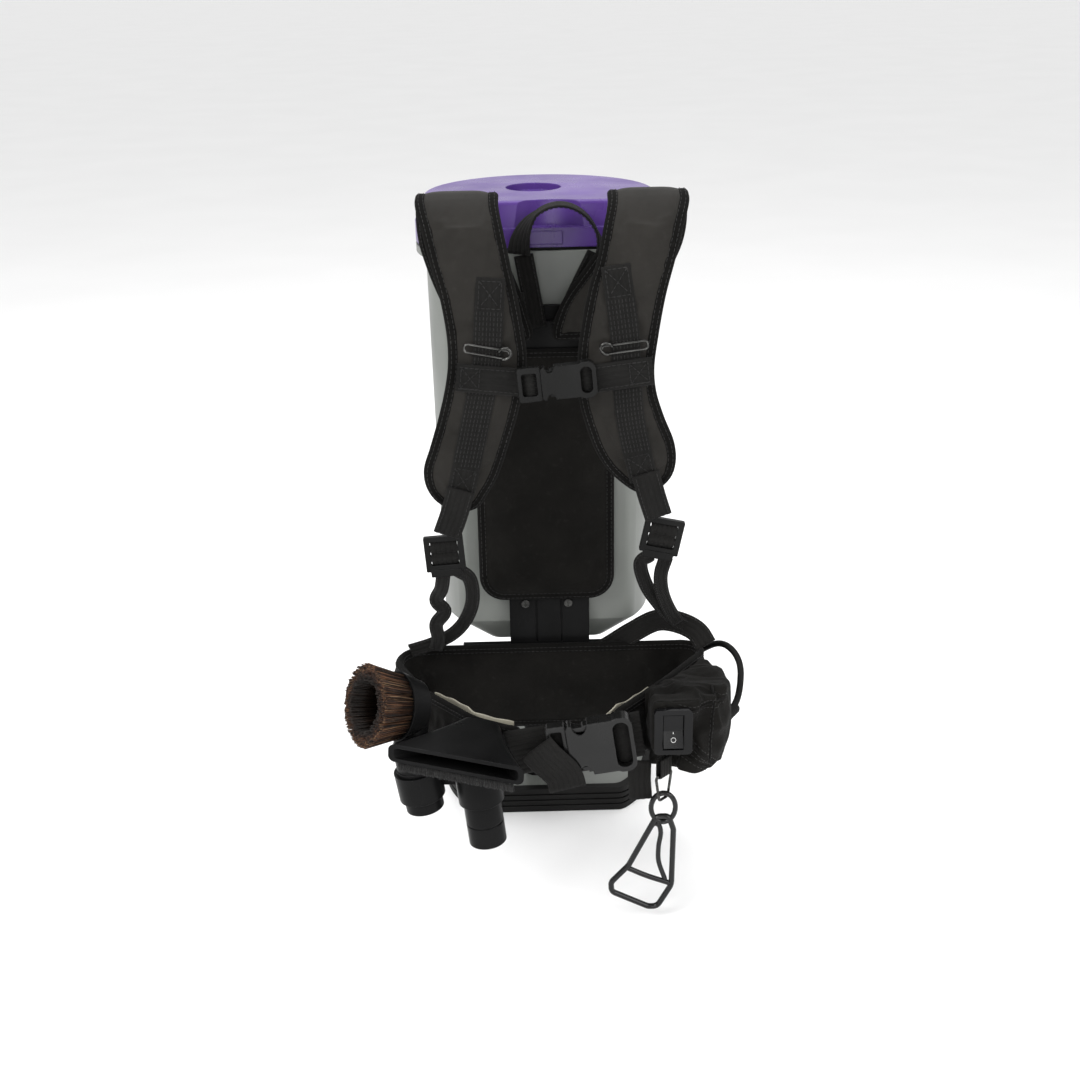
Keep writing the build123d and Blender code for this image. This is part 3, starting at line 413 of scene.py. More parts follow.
class Band:
    """A strap or tape: a line with a width direction and an outward normal."""

    def __init__(self, line, across, closed=False):
        self.line = np.asarray(line, dtype=float)
        self.closed = closed
        self.run = along_of(self.line, closed)
        across = np.broadcast_to(np.asarray(across, dtype=float), self.line.shape)
        across = across - self.run * np.sum(across * self.run, axis=1, keepdims=True)
        self.across = unit(across)
        self.out = np.cross(self.across, self.run)
        self.travel = travel_of(self.line)
        self.length = self.travel[-1]

    def at(self, travel, across, height):
        """A point and the normal there, from distances along, across and out."""
        spot, wide, out = (pick(travel, self.travel, rows)
                           for rows in (self.line, self.across, self.out))
        return spot + unit(wide) * across + unit(out) * height, unit(out)

    def skin(self, name, section, material, body="body"):
        """Sweeps a closed section of (across, height) pairs along the line."""
        wrap = travel_of(np.array(section))
        points, uv = [], []
        for i, spot in enumerate(self.line):
            for j, (w, h) in enumerate(section):
                points.append(spot + self.across[i] * w + self.out[i] * h)
                uv.append((wrap[j], self.travel[i]))
        faces = hoops(len(self.line), len(section), self.closed)
        return piece_from(name, points, faces, uv, material, body)


def ribbed(width, thick, ribs, depth=0.0006, per_rib=6):
    """Section of webbing: a flat strap with lengthwise ribs and rounded edges."""
    half = width / 2
    face = []
    for i in range(ribs * per_rib + 1):
        t = i / (ribs * per_rib)
        face.append((-half + 0.0006 + (width - 0.0012) * t,
                     thick / 2 - depth * (1 - abs(sin(pi * ribs * t)) ** 0.5)))
    return face + [(half, 0)] + [(w, -h) for w, h in face[::-1]] + [(-half, 0)]


def taped(depth):
    """Section of a binding tape folded over an edge."""
    rim = [(-0.008, depth), (-0.0072, depth + 0.0005), (-0.004, depth + 0.0008),
           (-0.001, depth + 0.0005), (0.0007, depth * 0.5), (0.001, 0)]
    return rim + [(w, -h) for w, h in rim[-2::-1]]


# ============================ stitches =======================================
STITCH, SPACE, STITCH_THICK = 0.0032, 0.0012, 0.0007
STITCH_MARKS = STITCH * np.array([0, 0.12, 0.35, 0.65, 0.88, 1])
STITCH_LIFT = np.array([-0.6, 0.15, 0.5, 0.5, 0.15, -0.6]) * STITCH_THICK * 0.6
STITCH_GIRTH = np.array([0.45, 0.85, 1.0, 1.0, 0.85, 0.45]) * STITCH_THICK / 2


def threads(name, runs, body="body"):
    """Lines of stitches. Each run is a list of (point, normal) pairs, closely spaced."""
    points, faces, uv = [], [], []
    ring = 6
    shape = hoops(len(STITCH_MARKS), ring)
    for run in runs:
        spots, normals = np.array([p for p, _ in run]), np.array([n for _, n in run])
        travel = travel_of(spots)
        start = SPACE / 2
        while start + STITCH < travel[-1]:
            marks = start + STITCH_MARKS
            centre = pick(marks, travel, spots)
            out = unit(pick(marks, travel, normals))
            way = unit(centre[-1] - centre[0])
            wide = unit(np.cross(np.broadcast_to(way, out.shape), out))
            faces += [tuple(len(points) + corner for corner in face) for face in shape]
            for i, girth in enumerate(STITCH_GIRTH):
                for j in range(ring):
                    angle = 2 * pi * j / ring
                    points.append(centre[i] + out[i] * (STITCH_LIFT[i] + girth * sin(angle))
                                  + wide[i] * girth * cos(angle))
                    uv.append((j * STITCH_THICK / 2, marks[i]))
            start += STITCH + SPACE
    return piece_from(name, points, faces, uv, THREAD, body)


def run_on(band, marks, height, step=0.002):
    """A stitch run through (travel, across) marks on a band's face."""
    run = []
    for (t0, w0), (t1, w1) in zip(marks, marks[1:]):
        pieces = max(1, int(hypot(t1 - t0, w1 - w0) / step))
        for i in range(pieces):
            share = i / pieces
            run.append(band.at(t0 + (t1 - t0) * share, w0 + (w1 - w0) * share, height))
    run.append(band.at(*marks[-1], height))
    return run


def rows_on(band, rows, height, end=0.002):
    """Stitch runs along a band, from near one end to near the other."""
    return [run_on(band, [(end, w), (band.length - end, w)], height) for w in rows]


def box_x(band, t0, t1, half, height):
    """Stitch runs of a sewn box with a cross in it."""
    a, b, c, d = (t0, -half), (t0, half), (t1, half), (t1, -half)
    return [run_on(band, marks, height) for marks in ([a, b, c, d, a], [a, c], [b, d])]


# ============================ padded goods ===================================
def rounded_plan(corners, pieces=9):
    """Closed line through corners given as ((x, y), rounding)."""
    line = []
    for i, (spot, rounding) in enumerate(corners):
        here = np.array(spot, dtype=float)
        back = unit(np.array(corners[i - 1][0]) - here)
        on = unit(np.array(corners[(i + 1) % len(corners)][0]) - here)
        half = np.arccos(np.clip(back @ on, -1, 1)) / 2
        reach = rounding / np.tan(half)
        centre = here + unit(back + on) * rounding / sin(half)
        start, end = here + back * reach - centre, here + on * reach - centre
        a0 = atan2(start[1], start[0])
        turn = (atan2(end[1], end[0]) - a0 + pi) % (2 * pi) - pi
        for k in range(pieces + 1):
            angle = a0 + turn * k / pieces
            line.append(centre + rounding * np.array([cos(angle), sin(angle)]))
    return np.array(line)


class Track:
    """A line in a plane, with the distance along it and to its left."""

    def __init__(self, line):
        self.line = line
        self.run = along_of(line)
        self.left = np.stack([-self.run[:, 1], self.run[:, 0]], 1)
        self.travel = travel_of(line)

    def of(self, spots, batch=2000):
        """Distance along the line and to its left, for each given point."""
        along, off = np.empty(len(spots)), np.empty(len(spots))
        for i in range(0, len(spots), batch):
            part = spots[i:i + batch]
            gap_shade = part[:, None, :] - self.line[None]
            near = np.argmin(np.einsum("ijk,ijk->ij", gap_shade, gap_shade), axis=1)
            rest = part - self.line[near]
            along[i:i + batch] = self.travel[near] + np.einsum("ij,ij->i", rest, self.run[near])
            off[i:i + batch] = np.einsum("ij,ij->i", rest, self.left[near])
        return along, off

    def at(self, along, off=0.0):
        """Points at distances along the line and to its left."""
        left = unit(pick(along, self.travel, self.left))
        return pick(along, self.travel, self.line) + left * np.asarray(off)[..., None]


def inside_by(outline, spots):
    """How far each point lies inside a closed outline."""
    best = np.full(len(spots), 9.0)
    odd = np.zeros(len(spots), dtype=bool)
    for p, q in zip(outline, np.roll(outline, -1, axis=0)):
        way = q - p
        share = np.clip(((spots - p) @ way) / max(way @ way, 1e-12), 0, 1)
        best = np.minimum(best, np.linalg.norm(spots - p - share[:, None] * way, axis=1))
        crosses = (p[1] > spots[:, 1]) != (q[1] > spots[:, 1])
        rise = q[1] - p[1] if q[1] != p[1] else 1e-12
        odd ^= crosses & (spots[:, 0] < (q[0] - p[0]) * (spots[:, 1] - p[1]) / rise + p[0])
    return np.where(odd, best, -best)


def swell_of(depth, rim, full, width, taped_edge=0.0068):
    """Share of the thickness at a depth in from the edge, thin under its binding."""
    t = np.clip((depth - taped_edge) / width, 0, 1)
    return rim + (full - rim) * np.sqrt(np.clip(1 - (1 - t) ** 2, 0, 1))


CLOTH_FRAMES = 20
swelling = []          # pads waiting for the cloth simulation: (object, cap, slack points)


def points_of(mesh):
    spots = np.empty(len(mesh.vertices) * 3)
    mesh.vertices.foreach_get("co", spots)
    return spots.reshape(-1, 3)


def pad_from(name, node, voxel, shape, material, cap, slot="pad_fabric", pressure=4.0,
             spare=0.035):
    """A pad grown from a soft CAD solid. shape(points) gives the slack points, how free
    each is to move and its place on the cloth; cap is the furthest that it swells."""
    rough = added(name + "_rough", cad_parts[node].data.copy())
    remesh = rough.modifiers.new("even", "REMESH")
    remesh.mode, remesh.voxel_size = "VOXEL", voxel
    graph = bpy.context.evaluated_depsgraph_get()
    mesh = bpy.data.meshes.new_from_object(rough.evaluated_get(graph))
    bpy.data.objects.remove(rough)
    mesh.name = name
    pad = added(name, mesh)
    slack, free, cloth_place = shape(points_of(mesh))
    mesh.vertices.foreach_set("co", slack.ravel())
    mesh.update()
    finish_mesh(mesh, material, cloth_place)
    held = pad.vertex_groups.new(name="held")
    for i, share in enumerate(1 - free):
        if share > 0.01:
            held.add([i], float(share), "REPLACE")
    cloth = pad.modifiers.new("swell", "CLOTH")
    settings = cloth.settings
    settings.use_pressure, settings.uniform_pressure_force = True, pressure
    settings.effector_weights.gravity = 0
    settings.vertex_group_mass = "held"
    settings.quality, settings.mass = 4, 0.3
    settings.tension_stiffness = settings.compression_stiffness = 18
    settings.bending_stiffness = 0.35
    settings.shrink_min = -spare
    cloth.point_cache.frame_start, cloth.point_cache.frame_end = 1, CLOTH_FRAMES
    swelling.append((pad, cap, slack))
    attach(pad, "body")
    fitted(pad, slot, node)
    return pad


def swell_all():
    """Runs the cloth simulation once for every pad and fixes its result in the mesh."""
    for moment in range(1, CLOTH_FRAMES + 1):
        bpy.context.scene.frame_set(moment)
    graph = bpy.context.evaluated_depsgraph_get()
    for pad, cap, slack in swelling:
        shift = points_of(pad.evaluated_get(graph).data) - slack
        size = np.linalg.norm(shift, axis=1, keepdims=True)
        shift *= np.minimum(1, cap / np.maximum(size, 1e-9))
        pad.modifiers.remove(pad.modifiers["swell"])
        pad.data.vertices.foreach_set("co", (slack + shift).ravel())
        pad.data.update()
        finer = pad.modifiers.new("finer", "SUBSURF")
        finer.levels = finer.render_levels = 1
    bpy.context.scene.frame_set(1)


def bind(name, band, rim):
    """Binding tape folded over a pad's edge, with two rows of stitches on each face."""
    band.skin(name + "_binding", taped(rim), BINDING)
    runs = []
    for across, lift in ((-0.0062, 0.0008), (-0.0022, 0.0009)):
        for face in (1, -1):
            spots = band.line + band.across * across + band.out * face * (rim + lift)
            run = list(zip(spots, band.out * face))
            runs.append(run + run[:1])
    threads(name + "_stitches", runs)


def rim_band(line, normals):
    """Band along a pad's closed edge, its width direction pointing out of the pad."""
    out_way = np.cross(along_of(line, True), np.broadcast_to(normals, line.shape))
    if np.sum(out_way * (line - line.mean(axis=0))) < 0:
        out_way = -out_way
    return Band(line, out_way, closed=True)


# --- shoulder straps: side line, and outlines seen from the front, in millimetres ---
strap_track = Track(smooth_mm([
    (-88, 512), (-98, 566), (-118, 620), (-152, 655), (-184, 632),
    (-196, 580), (-196, 500), (-188, 430), (-178, 368),
], 0.001))
crest = int(np.argmax(strap_track.line[:, 1]))
crest_travel = strap_track.travel[crest]
strap_fronts = {
    "left": [
        (-107, 650), (-100, 627), (-94, 603), (-88, 579), (-83, 544), (-83, 520),
        (-86, 500), (-93, 472), (-102, 443), (-109, 420), (-107, 402), (-98, 388),
        (-85, 381), (-73, 379), (-63, 383), (-55, 395), (-46, 411), (-34, 446),
        (-23, 485), (-17, 524), (-19, 546), (-24, 578), (-30, 608), (-38, 648),
    ],
    "right": [
        (124, 650), (117, 630), (110, 605), (102, 575), (96, 540), (93, 512), (95, 491),
        (102, 468), (112, 442), (114, 424), (111, 410), (102, 399), (90, 394), (80, 395),
        (70, 402), (56, 416), (45, 434), (36, 459), (29, 488), (29, 526), (32, 550),
        (39, 584), (46, 606), (52, 632), (57, 650),
    ],
}


def strap_travel(height, chest):
    """Distance along the strap line at a height, on its chest or its back part."""
    part = slice(crest, None) if chest else slice(0, crest + 1)
    heights, travel = strap_track.line[part, 1], strap_track.travel[part]
    if chest:
        heights, travel = heights[::-1], travel[::-1]
    return float(np.interp(height * MM, heights, travel))


def strap_outline(side_name):
    """Closed outline of a strap laid flat: across and along."""
    front = strap_fronts[side_name]
    sign = -1 if side_name == "left" else 1
    outer, inner = front[0][0], front[-1][0]
    flat = [(x, strap_travel(z, True)) for x, z in front]
    flat += [(inner, crest_travel), (inner, strap_travel(612, False)),
             (sign * 16, strap_travel(542, False)), (sign * 12, 0.0), (sign * 66, 0.0),
             (outer, strap_travel(600, False)), (outer, crest_travel)]
    return smooth_line([(x * MM, s) for x, s in flat], 0.004, closed=True)


def strap_shape(outline):
    """Turns points of the strap's solid into a slack pad with a thin, held rim."""
    def shape(spots):
        along, off = strap_track.of(spots[:, 1:])
        laid = np.stack([spots[:, 0], along], 1)
        depth = inside_by(outline, laid)
        share = swell_of(np.maximum(depth, 0), 0.36, 0.86, 0.016)
        slack = np.column_stack([spots[:, 0], strap_track.at(along, off * share)])
        free = np.clip((depth - 0.0080) / 0.004, 0, 1)
        free = free * np.clip((np.abs(along - crest_travel) - 0.022) / 0.02, 0, 1)
        return slack, free, laid
    return shape


def strap_spots(laid, off=0.0):
    """Points off the strap line, given across and along."""
    laid = np.array(laid)
    off = np.full(len(laid), off)
    return np.column_stack([laid[:, 0], strap_track.at(laid[:, 1], off)])


for side_name in ("left", "right"):
    outline = strap_outline(side_name)
    pad_from("strap_pad_" + side_name, "shoulder_strap_" + side_name, 0.0042,
             strap_shape(outline), STRAP, cap=0.0024)
    left = unit(np.column_stack([
        np.zeros(len(outline)), pick(outline[:, 1], strap_track.travel, strap_track.left)]))
    bind("strap_" + side_name, rim_band(strap_spots(outline), left), 0.0023)

# --- back pad -----------------------------------------------------------------
pad_low, pad_high = box_of("back_pad")
pad_rear = pad_high[1]
pad_plan = rounded_plan([
    ((pad_low[0], pad_low[2]), 0.024), ((pad_high[0], pad_low[2]), 0.024),
    ((pad_high[0], pad_high[2]), 0.024), ((pad_low[0], pad_high[2]), 0.024),
])


def back_shape(spots):
    depth = inside_by(pad_plan, spots[:, [0, 2]])
    share = swell_of(np.maximum(depth, 0), 0.30, 0.84, 0.026)
    slack = spots.copy()
    slack[:, 1] = pad_rear - (pad_rear - spots[:, 1]) * share
    free = np.clip((depth - 0.010) / 0.005, 0, 1) * (spots[:, 1] < pad_rear - 0.004)
    return slack, free, spots[:, [0, 2]]


pad_from("back_cushion", "back_pad", 0.0045, back_shape, PAD, cap=0.003, spare=0.02)
pad_edge = np.insert(closed_line(pad_plan, 0.003), 1, pad_rear - 0.0026, axis=1)
bind("back", rim_band(pad_edge, FRONT), 0.0026)

# --- waist belt: plan corners of its outer face, each with its rounding -----------
BELT_WALL = 0.013
belt_plan = closed_line(rounded_plan([
    ((-0.156, -0.077), 0.034), ((-0.154, -0.128), 0.040), ((-0.128, -0.200), 0.050),
    ((-0.078, -0.268), 0.024), ((0.060, -0.268), 0.018), ((0.113, -0.192), 0.060),
    ((0.158, -0.112), 0.030), ((0.158, -0.077), 0.024),
]), 0.002)
# the track starts in the gap between the two wings
start = int(np.argmin(np.hypot(belt_plan[:, 0] - 0.008, belt_plan[:, 1] + 0.268)))
belt_plan = np.roll(belt_plan, -start, axis=0)
outer_way = along_of(belt_plan, True)
inward = np.stack([-outer_way[:, 1], outer_way[:, 0]], 1)
if np.sum(inward * belt_plan) > 0:
    inward = -inward
belt_track = Track(even_line(belt_plan + inward * BELT_WALL / 2, 0.001))
belt_ends = sorted(belt_track.of(np.array([[x, -0.2615]]))[0][0] for x in (-0.028, 0.044))


def belt_top(y, x):
    """Height of the belt's top edge."""
    top_edge = np.interp(-y, [0.060, 0.110, 0.190, 0.300], [0.195, 0.197, 0.208, 0.217])
    left_end = np.where((x < 0) & (y < -0.23), np.interp(x, [-0.080, -0.027], [0.214, 0.197]), 9)
    right_end = np.where((x > 0) & (y < -0.23), np.interp(x, [0.043, 0.062], [0.200, 0.216]), 9)
    return np.minimum(top_edge, np.minimum(left_end, right_end))


def belt_bottom(y):
    return np.interp(-y, [0.060, 0.110, 0.190, 0.262, 0.300], [0.104, 0.104, 0.136, 0.167, 0.170])


def belt_shape(spots):
    along, off = belt_track.of(spots[:, :2])
    x, y, z = spots.T
    ends = np.minimum(along - belt_ends[0], belt_ends[1] - along)
    depth = np.minimum(np.minimum(belt_top(y, x) - z, z - belt_bottom(y)), ends)
    share = swell_of(np.maximum(depth, 0), 0.34, 0.84, 0.022)
    slack = np.column_stack([belt_track.at(along, off * share), z])
    free = np.clip((depth - 0.009) / 0.004, 0, 1)
    return slack, free, np.stack([along, z], 1)


pad_from("belt_pad", "waist_belt", 0.0048, belt_shape, PAD, cap=0.0035, spare=0.03)
plan = belt_track.at(np.arange(belt_ends[0], belt_ends[1], 0.004))
belt_line = np.vstack([
    np.column_stack([plan, belt_top(plan[:, 1], plan[:, 0])]),
    np.column_stack([plan, belt_bottom(plan[:, 1])])[::-1],
])
belt_line = smooth_line(even_line(belt_line, 0.012, closed=True), 0.004, closed=True)
belt_along, _ = belt_track.of(belt_line[:, :2])
belt_left = unit(pick(belt_along, belt_track.travel, belt_track.left))
belt_normal = np.column_stack([belt_left, np.zeros(len(belt_left))])
belt_out = np.cross(along_of(belt_line, True), belt_normal)
if belt_out[np.argmax(belt_line[:, 2]), 2] < 0:
    belt_out = -belt_out
bind("belt", Band(belt_line, belt_out, closed=True), 0.0027)

# --- switch pod: a slack fabric pouch with a sewn edge ---------------------------
pod_low, pod_high = box_of("switch_pod")
switch_low, switch_high = box_of("switch_housing")


def pod_shape(spots):
    """The pouch pulled in a little, with broad folds; held round the switch."""
    slack = spots.copy()
    folds = np.array([noise.noise(Vector(p) * 34 + Vector((3, 1, 7))) for p in spots])
    crease = np.array([abs(noise.noise(Vector(p * (20, 20, 46)))) for p in spots])
    near_switch = np.all(
        (spots[:, [0, 2]] > switch_low[[0, 2]] - 0.004)
        & (spots[:, [0, 2]] < switch_high[[0, 2]] + 0.004), axis=1) & (spots[:, 1] < -0.25)
    pull = 0.0035 + 0.0022 * folds + 0.004 * crease
    pull[near_switch] = 0.0008
    slack += unit((pod_low + pod_high) / 2 - spots) * pull[:, None]
    # the side against the belt is sewn to it
    along, off = belt_track.of(spots[:, :2])
    sewn = np.abs(off) < BELT_WALL / 2 + 0.0022
    slack[sewn, :2] = belt_track.at(along[sewn], off[sewn] * 0.6)
    free = np.where(near_switch | sewn | (spots[:, 1] > -0.135), 0.0, 1.0)
    return slack, free, np.stack([spots[:, 0] + spots[:, 1] * 0.5, spots[:, 2]], 1)


pod = pad_from("switch_pouch", "switch_pod", 0.0045, pod_shape, PAD, cap=0.006,
               spare=0.09, pressure=2.5)

# --- paper bag inside the canister ---------------------------------------------
bag_low, bag_high = box_of("filter_bag")


def bag_shape(spots):
    """The paper bag, a little slack and crumpled."""
    middle = (bag_low + bag_high) / 2
    inward = unit((middle - spots) * (1, 1, 0.6))
    folds = np.array([abs(noise.noise(Vector(p * (26, 26, 13)))) for p in spots])
    slack = spots + inward * (0.0025 + 0.006 * folds)[:, None]
    girth = np.arctan2(spots[:, 1] - middle[1], spots[:, 0] - middle[0])
    free = np.clip((bag_high[2] - 0.012 - spots[:, 2]) / 0.01, 0, 1)
    return slack, free, np.stack([girth * 0.08, spots[:, 2]], 1)


pad_from("paper_filter_bag", "filter_bag", 0.006, bag_shape, PAPER, cap=0.002,
         slot="bag_paper", spare=0.05, pressure=1.0)
swell_all()


# --- seams of the switch pouch, found on its swollen face -------------------------
def seam_on(piece, path, start=-0.45):
    """Points and normals where a flat (x, z) path meets a piece, seen from the front."""
    run = []
    for x, z in smooth_mm(path, 0.002):
        hit, spot, normal, _ = piece.ray_cast((x, start, z), (0, 1, 0))
        if hit:
            run.append((np.array(spot), np.array(normal)))
    return run


def piping(name, run, thick):
    """A thin sewn cord along a seam."""
    line = np.array([spot for spot, _ in run])
    normals = unit(np.array([normal for _, normal in run]))
    for _ in range(3):
        line[1:-1] = (line[:-2] + line[1:-1] * 2 + line[2:]) / 4
        normals[1:-1] = unit(normals[:-2] + normals[1:-1] * 2 + normals[2:])
    across = np.cross(along_of(line), normals)
    return Band(line, across).skin(name, oval(thick, thick, 8), BINDING)


pod_seams = {
    "top": [(158, 214), (140, 219), (124, 222), (100, 228)],
    "side": [(146, 224), (143, 205), (141, 185), (140, 164)],
    "corner": [(124, 186), (134, 176), (146, 160)],
    "base": [(92, 180), (110, 178), (128, 170), (145, 154)],
}
SHORTEST_SEAM = 7      # points
pod_rows = []
for seam_name, path in pod_seams.items():
    run = seam_on(pod, path)
    if len(run) >= SHORTEST_SEAM:
        fitted(piping("pod_piping_" + seam_name, run, 0.0011), "pad_fabric")
        pod_rows += [seam_on(pod, [(x + shift * 0.6, z + shift) for x, z in path])
                     for shift in (-2.6, 2.6)]
threads("pod_stitches", [row for row in pod_rows if len(row) >= SHORTEST_SEAM])

# ============================ webbing ============================================
WEB_THICK = 0.0018


def webbing(name, line, facing, width, node=None, body="body", ribs=5, sew=(),
            thick=WEB_THICK):
    """Ribbed webbing along a line, its face turned towards a direction. sew gives the
    stitch rows along it."""
    across = np.cross(along_of(line), np.broadcast_to(facing, line.shape))
    band = Band(line, across)
    if np.sum(band.out * np.broadcast_to(facing, line.shape)) < 0:
        band = Band(line, -band.across)
    nodes = [node] if node else []
    fitted(band.skin(name, ribbed(width, thick, ribs), WEBBING, body), "webbing", *nodes)
    if sew:
        threads(name + "_stitches", rows_on(band, sew, thick / 2 + 0.0002), body)
    return band


def flat_web(name, spots, facing, width, *rest, **settings):
    """Webbing through a few (x, y, z) points in millimetres."""
    return webbing(name, smooth_mm(spots), facing, width, *rest, **settings)


strap_runs = {
    "left": [(-45, 594), (-49, 541), (-50, 525), (-64, 460), (-78, 399)],
    "right": [(60, 602), (68, 541), (69, 525), (73, 470), (86, 409)],
}
STRAP_LAY = 0.0074     # the webbing's height over the strap line
for side_name, path in strap_runs.items():
    laid = smooth_line([(x * MM, strap_travel(z, True)) for x, z in path], 0.003)
    line = min((strap_spots(laid, lay) for lay in (-STRAP_LAY, STRAP_LAY)),
               key=lambda spots: spots[5][1])
    band = webbing("strap_web_run_" + side_name, line, FRONT, 0.025, "strap_web_" + side_name)
    end = band.length
    sewn = box_x(band, 0.003, 0.026, 0.0095, 0.0010)
    sewn += box_x(band, end - 0.026, end - 0.003, 0.0095, 0.0010)
    sewn += rows_on(band, (-0.0105, -0.0075, -0.0045, -0.0015, 0.0015, 0.0045, 0.0075, 0.0105),
                    0.0008, 0.028)
    threads("strap_web_sewing_" + side_name, sewn)

# tabs that join the back ends of the shoulder straps to the yoke plate
tab_root = box_of("yoke_plate")[0][1] / MM - 0.9
for side_name, x, width in (("left", -34, 0.034), ("right", 49, 0.026)):
    flat_web("strap_tab_" + side_name,
             [(x, tab_root, 501), (x, tab_root, 510), (x, tab_root, 519), (x, -82.6, 530),
              (x, -87.0, 542), (x, -90.4, 557)],
             FRONT, width, sew=(-0.010, 0.010), ribs=6)

# --- webs on the chest ------------------------------------------------------------
chest_webs = {
    "left": flat_web("sternum_web_left", [(-77, -207.6, 511), (-50, -207.8, 508),
                                          (-20, -208.2, 505)],
                     FRONT, 0.025, "sternum_webs", sew=(-0.0095, 0.0095)),
    "right": flat_web("sternum_web_right", [(42, -207.9, 507), (66, -207.7, 510),
                                            (92, -207.6, 513)],
                      FRONT, 0.025, sew=(-0.0095, 0.0095)),
}
for side_name, start in (("left", 0.004), ("right", chest_webs["right"].length - 0.020)):
    threads("sternum_box_" + side_name,
            box_x(chest_webs[side_name], start, start + 0.016, 0.009, 0.0011))


def buckle_loop(name, origin, lean, body, centre, width, near, far, lift):
    """A U of webbing passing through a buckle window: over the bar and back."""
    u_way = np.array([cos(radians(lean)), 0, sin(radians(lean))])
    spots = []
    for u, y in ((near, lift), (near * 0.7 + far * 0.3, lift - 4.2),
                 (near * 0.35 + far * 0.65, lift - 4.4), (far, lift - 1.0)):
        spots.append(origin + u_way * (centre + u) + np.array([0, y, 0]))
    flat_web(name, spots, FRONT, width, body=body)


chest = np.array([9.0, -214.0, 507.0])
buckle_loop("sternum_loop_right", chest, 5, "body", 25.5, 0.0244, -6.5, 7.0, 5.2)
buckle_loop("sternum_loop_left", chest, 5, "chest_prongs", -22.0, 0.0244, -8.0, 7.0, 5.2)

# --- waist: buckle loops, the folded tail and the loose tail -----------------------
waist_spot = np.array([33.0, -281.0, 190.0])
waist_lean = radians(8)


def waist(u, y, v):
    """A spot beside the waist buckle, along and across its lean, at depth y."""
    along = np.array([cos(waist_lean), 0, sin(waist_lean)]) * u
    across = np.array([-sin(waist_lean), 0, cos(waist_lean)]) * v
    return waist_spot + along + across + np.array([0, y + 281.0, 0])


flat_web("waist_web_run_left", [waist(-74, -271.8, -1), waist(-52, -272.4, 0),
                                waist(-34, -273.6, 0)],
         FRONT, 0.046, "waist_web_left", ribs=9)
buckle_loop("waist_loop_left", waist_spot, 8, "waist_prongs", -29.0, 0.045, -9.0, 7.5, 7.0)
buckle_loop("waist_loop_right", waist_spot, 8, "body", 28.5, 0.045, -7.5, 9.5, 6.4)
flat_web("waist_web_run_right", [waist(32, -274.4, 0), waist(40, -272.6, 0),
                                 waist(47, -272.0, 0)],
         FRONT, 0.046, "waist_web_right", ribs=9)
flat_web("waist_tail_right", [(78, -269.4, 167), (77.5, -270.0, 150), (79, -269.6, 127)],
         FRONT, 0.021, ribs=4)
# the wide tail folds over itself below the buckle
flat_web("waist_tail_fold", [(-16, -289.2, 194), (-8, -290.0, 184), (8, -290.6, 166),
                             (12, -290.2, 152)], FRONT, 0.034, ribs=7)

# --- shoulder strap tips to the ladder locks, and on to the belt -------------------
# each side: the lock's middle and tilt, the web above it, and the strands below it
locks = {
    "left": ((-95.0, -181.0, 338.0), 4,
             [(-77, -195.5, 404), (-84, -194.0, 381), (-92, -187.6, 358)],
             [[(-97, -178.8, 317), (-100, -170, 298), (-106, -158, 280), (-99, -151, 266),
               (-108, -142, 249), (-108, -124, 224), (-112, -110, 206)],
              [(-84, -178.6, 320), (-74, -166, 306), (-72, -152, 278), (-80, -137, 250),
               (-94, -124, 229), (-116, -108, 211), (-138, -99, 200)]]),
    "right": ((104.0, -181.0, 350.0), -12,
              [(87, -196.3, 416), (93, -194.6, 394), (100, -187.8, 371)],
              [[(108, -178.8, 327), (105, -166, 306), (108, -148, 280), (117, -128, 252),
                (128, -113, 230)],
               [(93, -178.8, 330), (86, -167, 318), (92, -152, 290), (108, -132, 258),
                (126, -112, 232), (140, -104, 220)]]),
}
# the web over a lock's bars, filling its slots: (height, depth)
weave = [(12.5, 1.5), (9.6, -1.8), (4.8, -3.9), (0.2, -0.2), (-4.2, -4.0), (-8.8, -0.4),
         (-12.5, 2.4)]
for side_name, (centre, tilt, upper, strands_below) in locks.items():
    down = np.array([sin(radians(tilt)), 0, -cos(radians(tilt))])
    flat_web("adjuster_upper_" + side_name, upper, (0, -1, 0.1), 0.025,
             "adjuster_web_" + side_name, sew=(-0.0095, 0.0095))
    flat_web("lock_web_" + side_name,
             [np.array(centre) - down * v + np.array([0, y, 0]) for v, y in weave],
             FRONT, 0.0245)
    for number, strand in enumerate(strands_below):
        flat_web("adjuster_strand_%s_%d" % (side_name, number), strand, (0, -1, 0.25), 0.0135,
                 ribs=3, sew=(-0.0048, 0.0048))

# stabiliser web from the spine plate's flare out to the belt and the pod
flat_web("stabiliser_web", [(40, -78.8, 176), (62, -80.0, 190), (84, -85, 207), (110, -95, 225),
                            (131, -105, 226), (147, -112, 219), (155, -120, 208)],
         (0, -1, 0.3), 0.022, ribs=4, sew=(-0.0088, 0.0088))

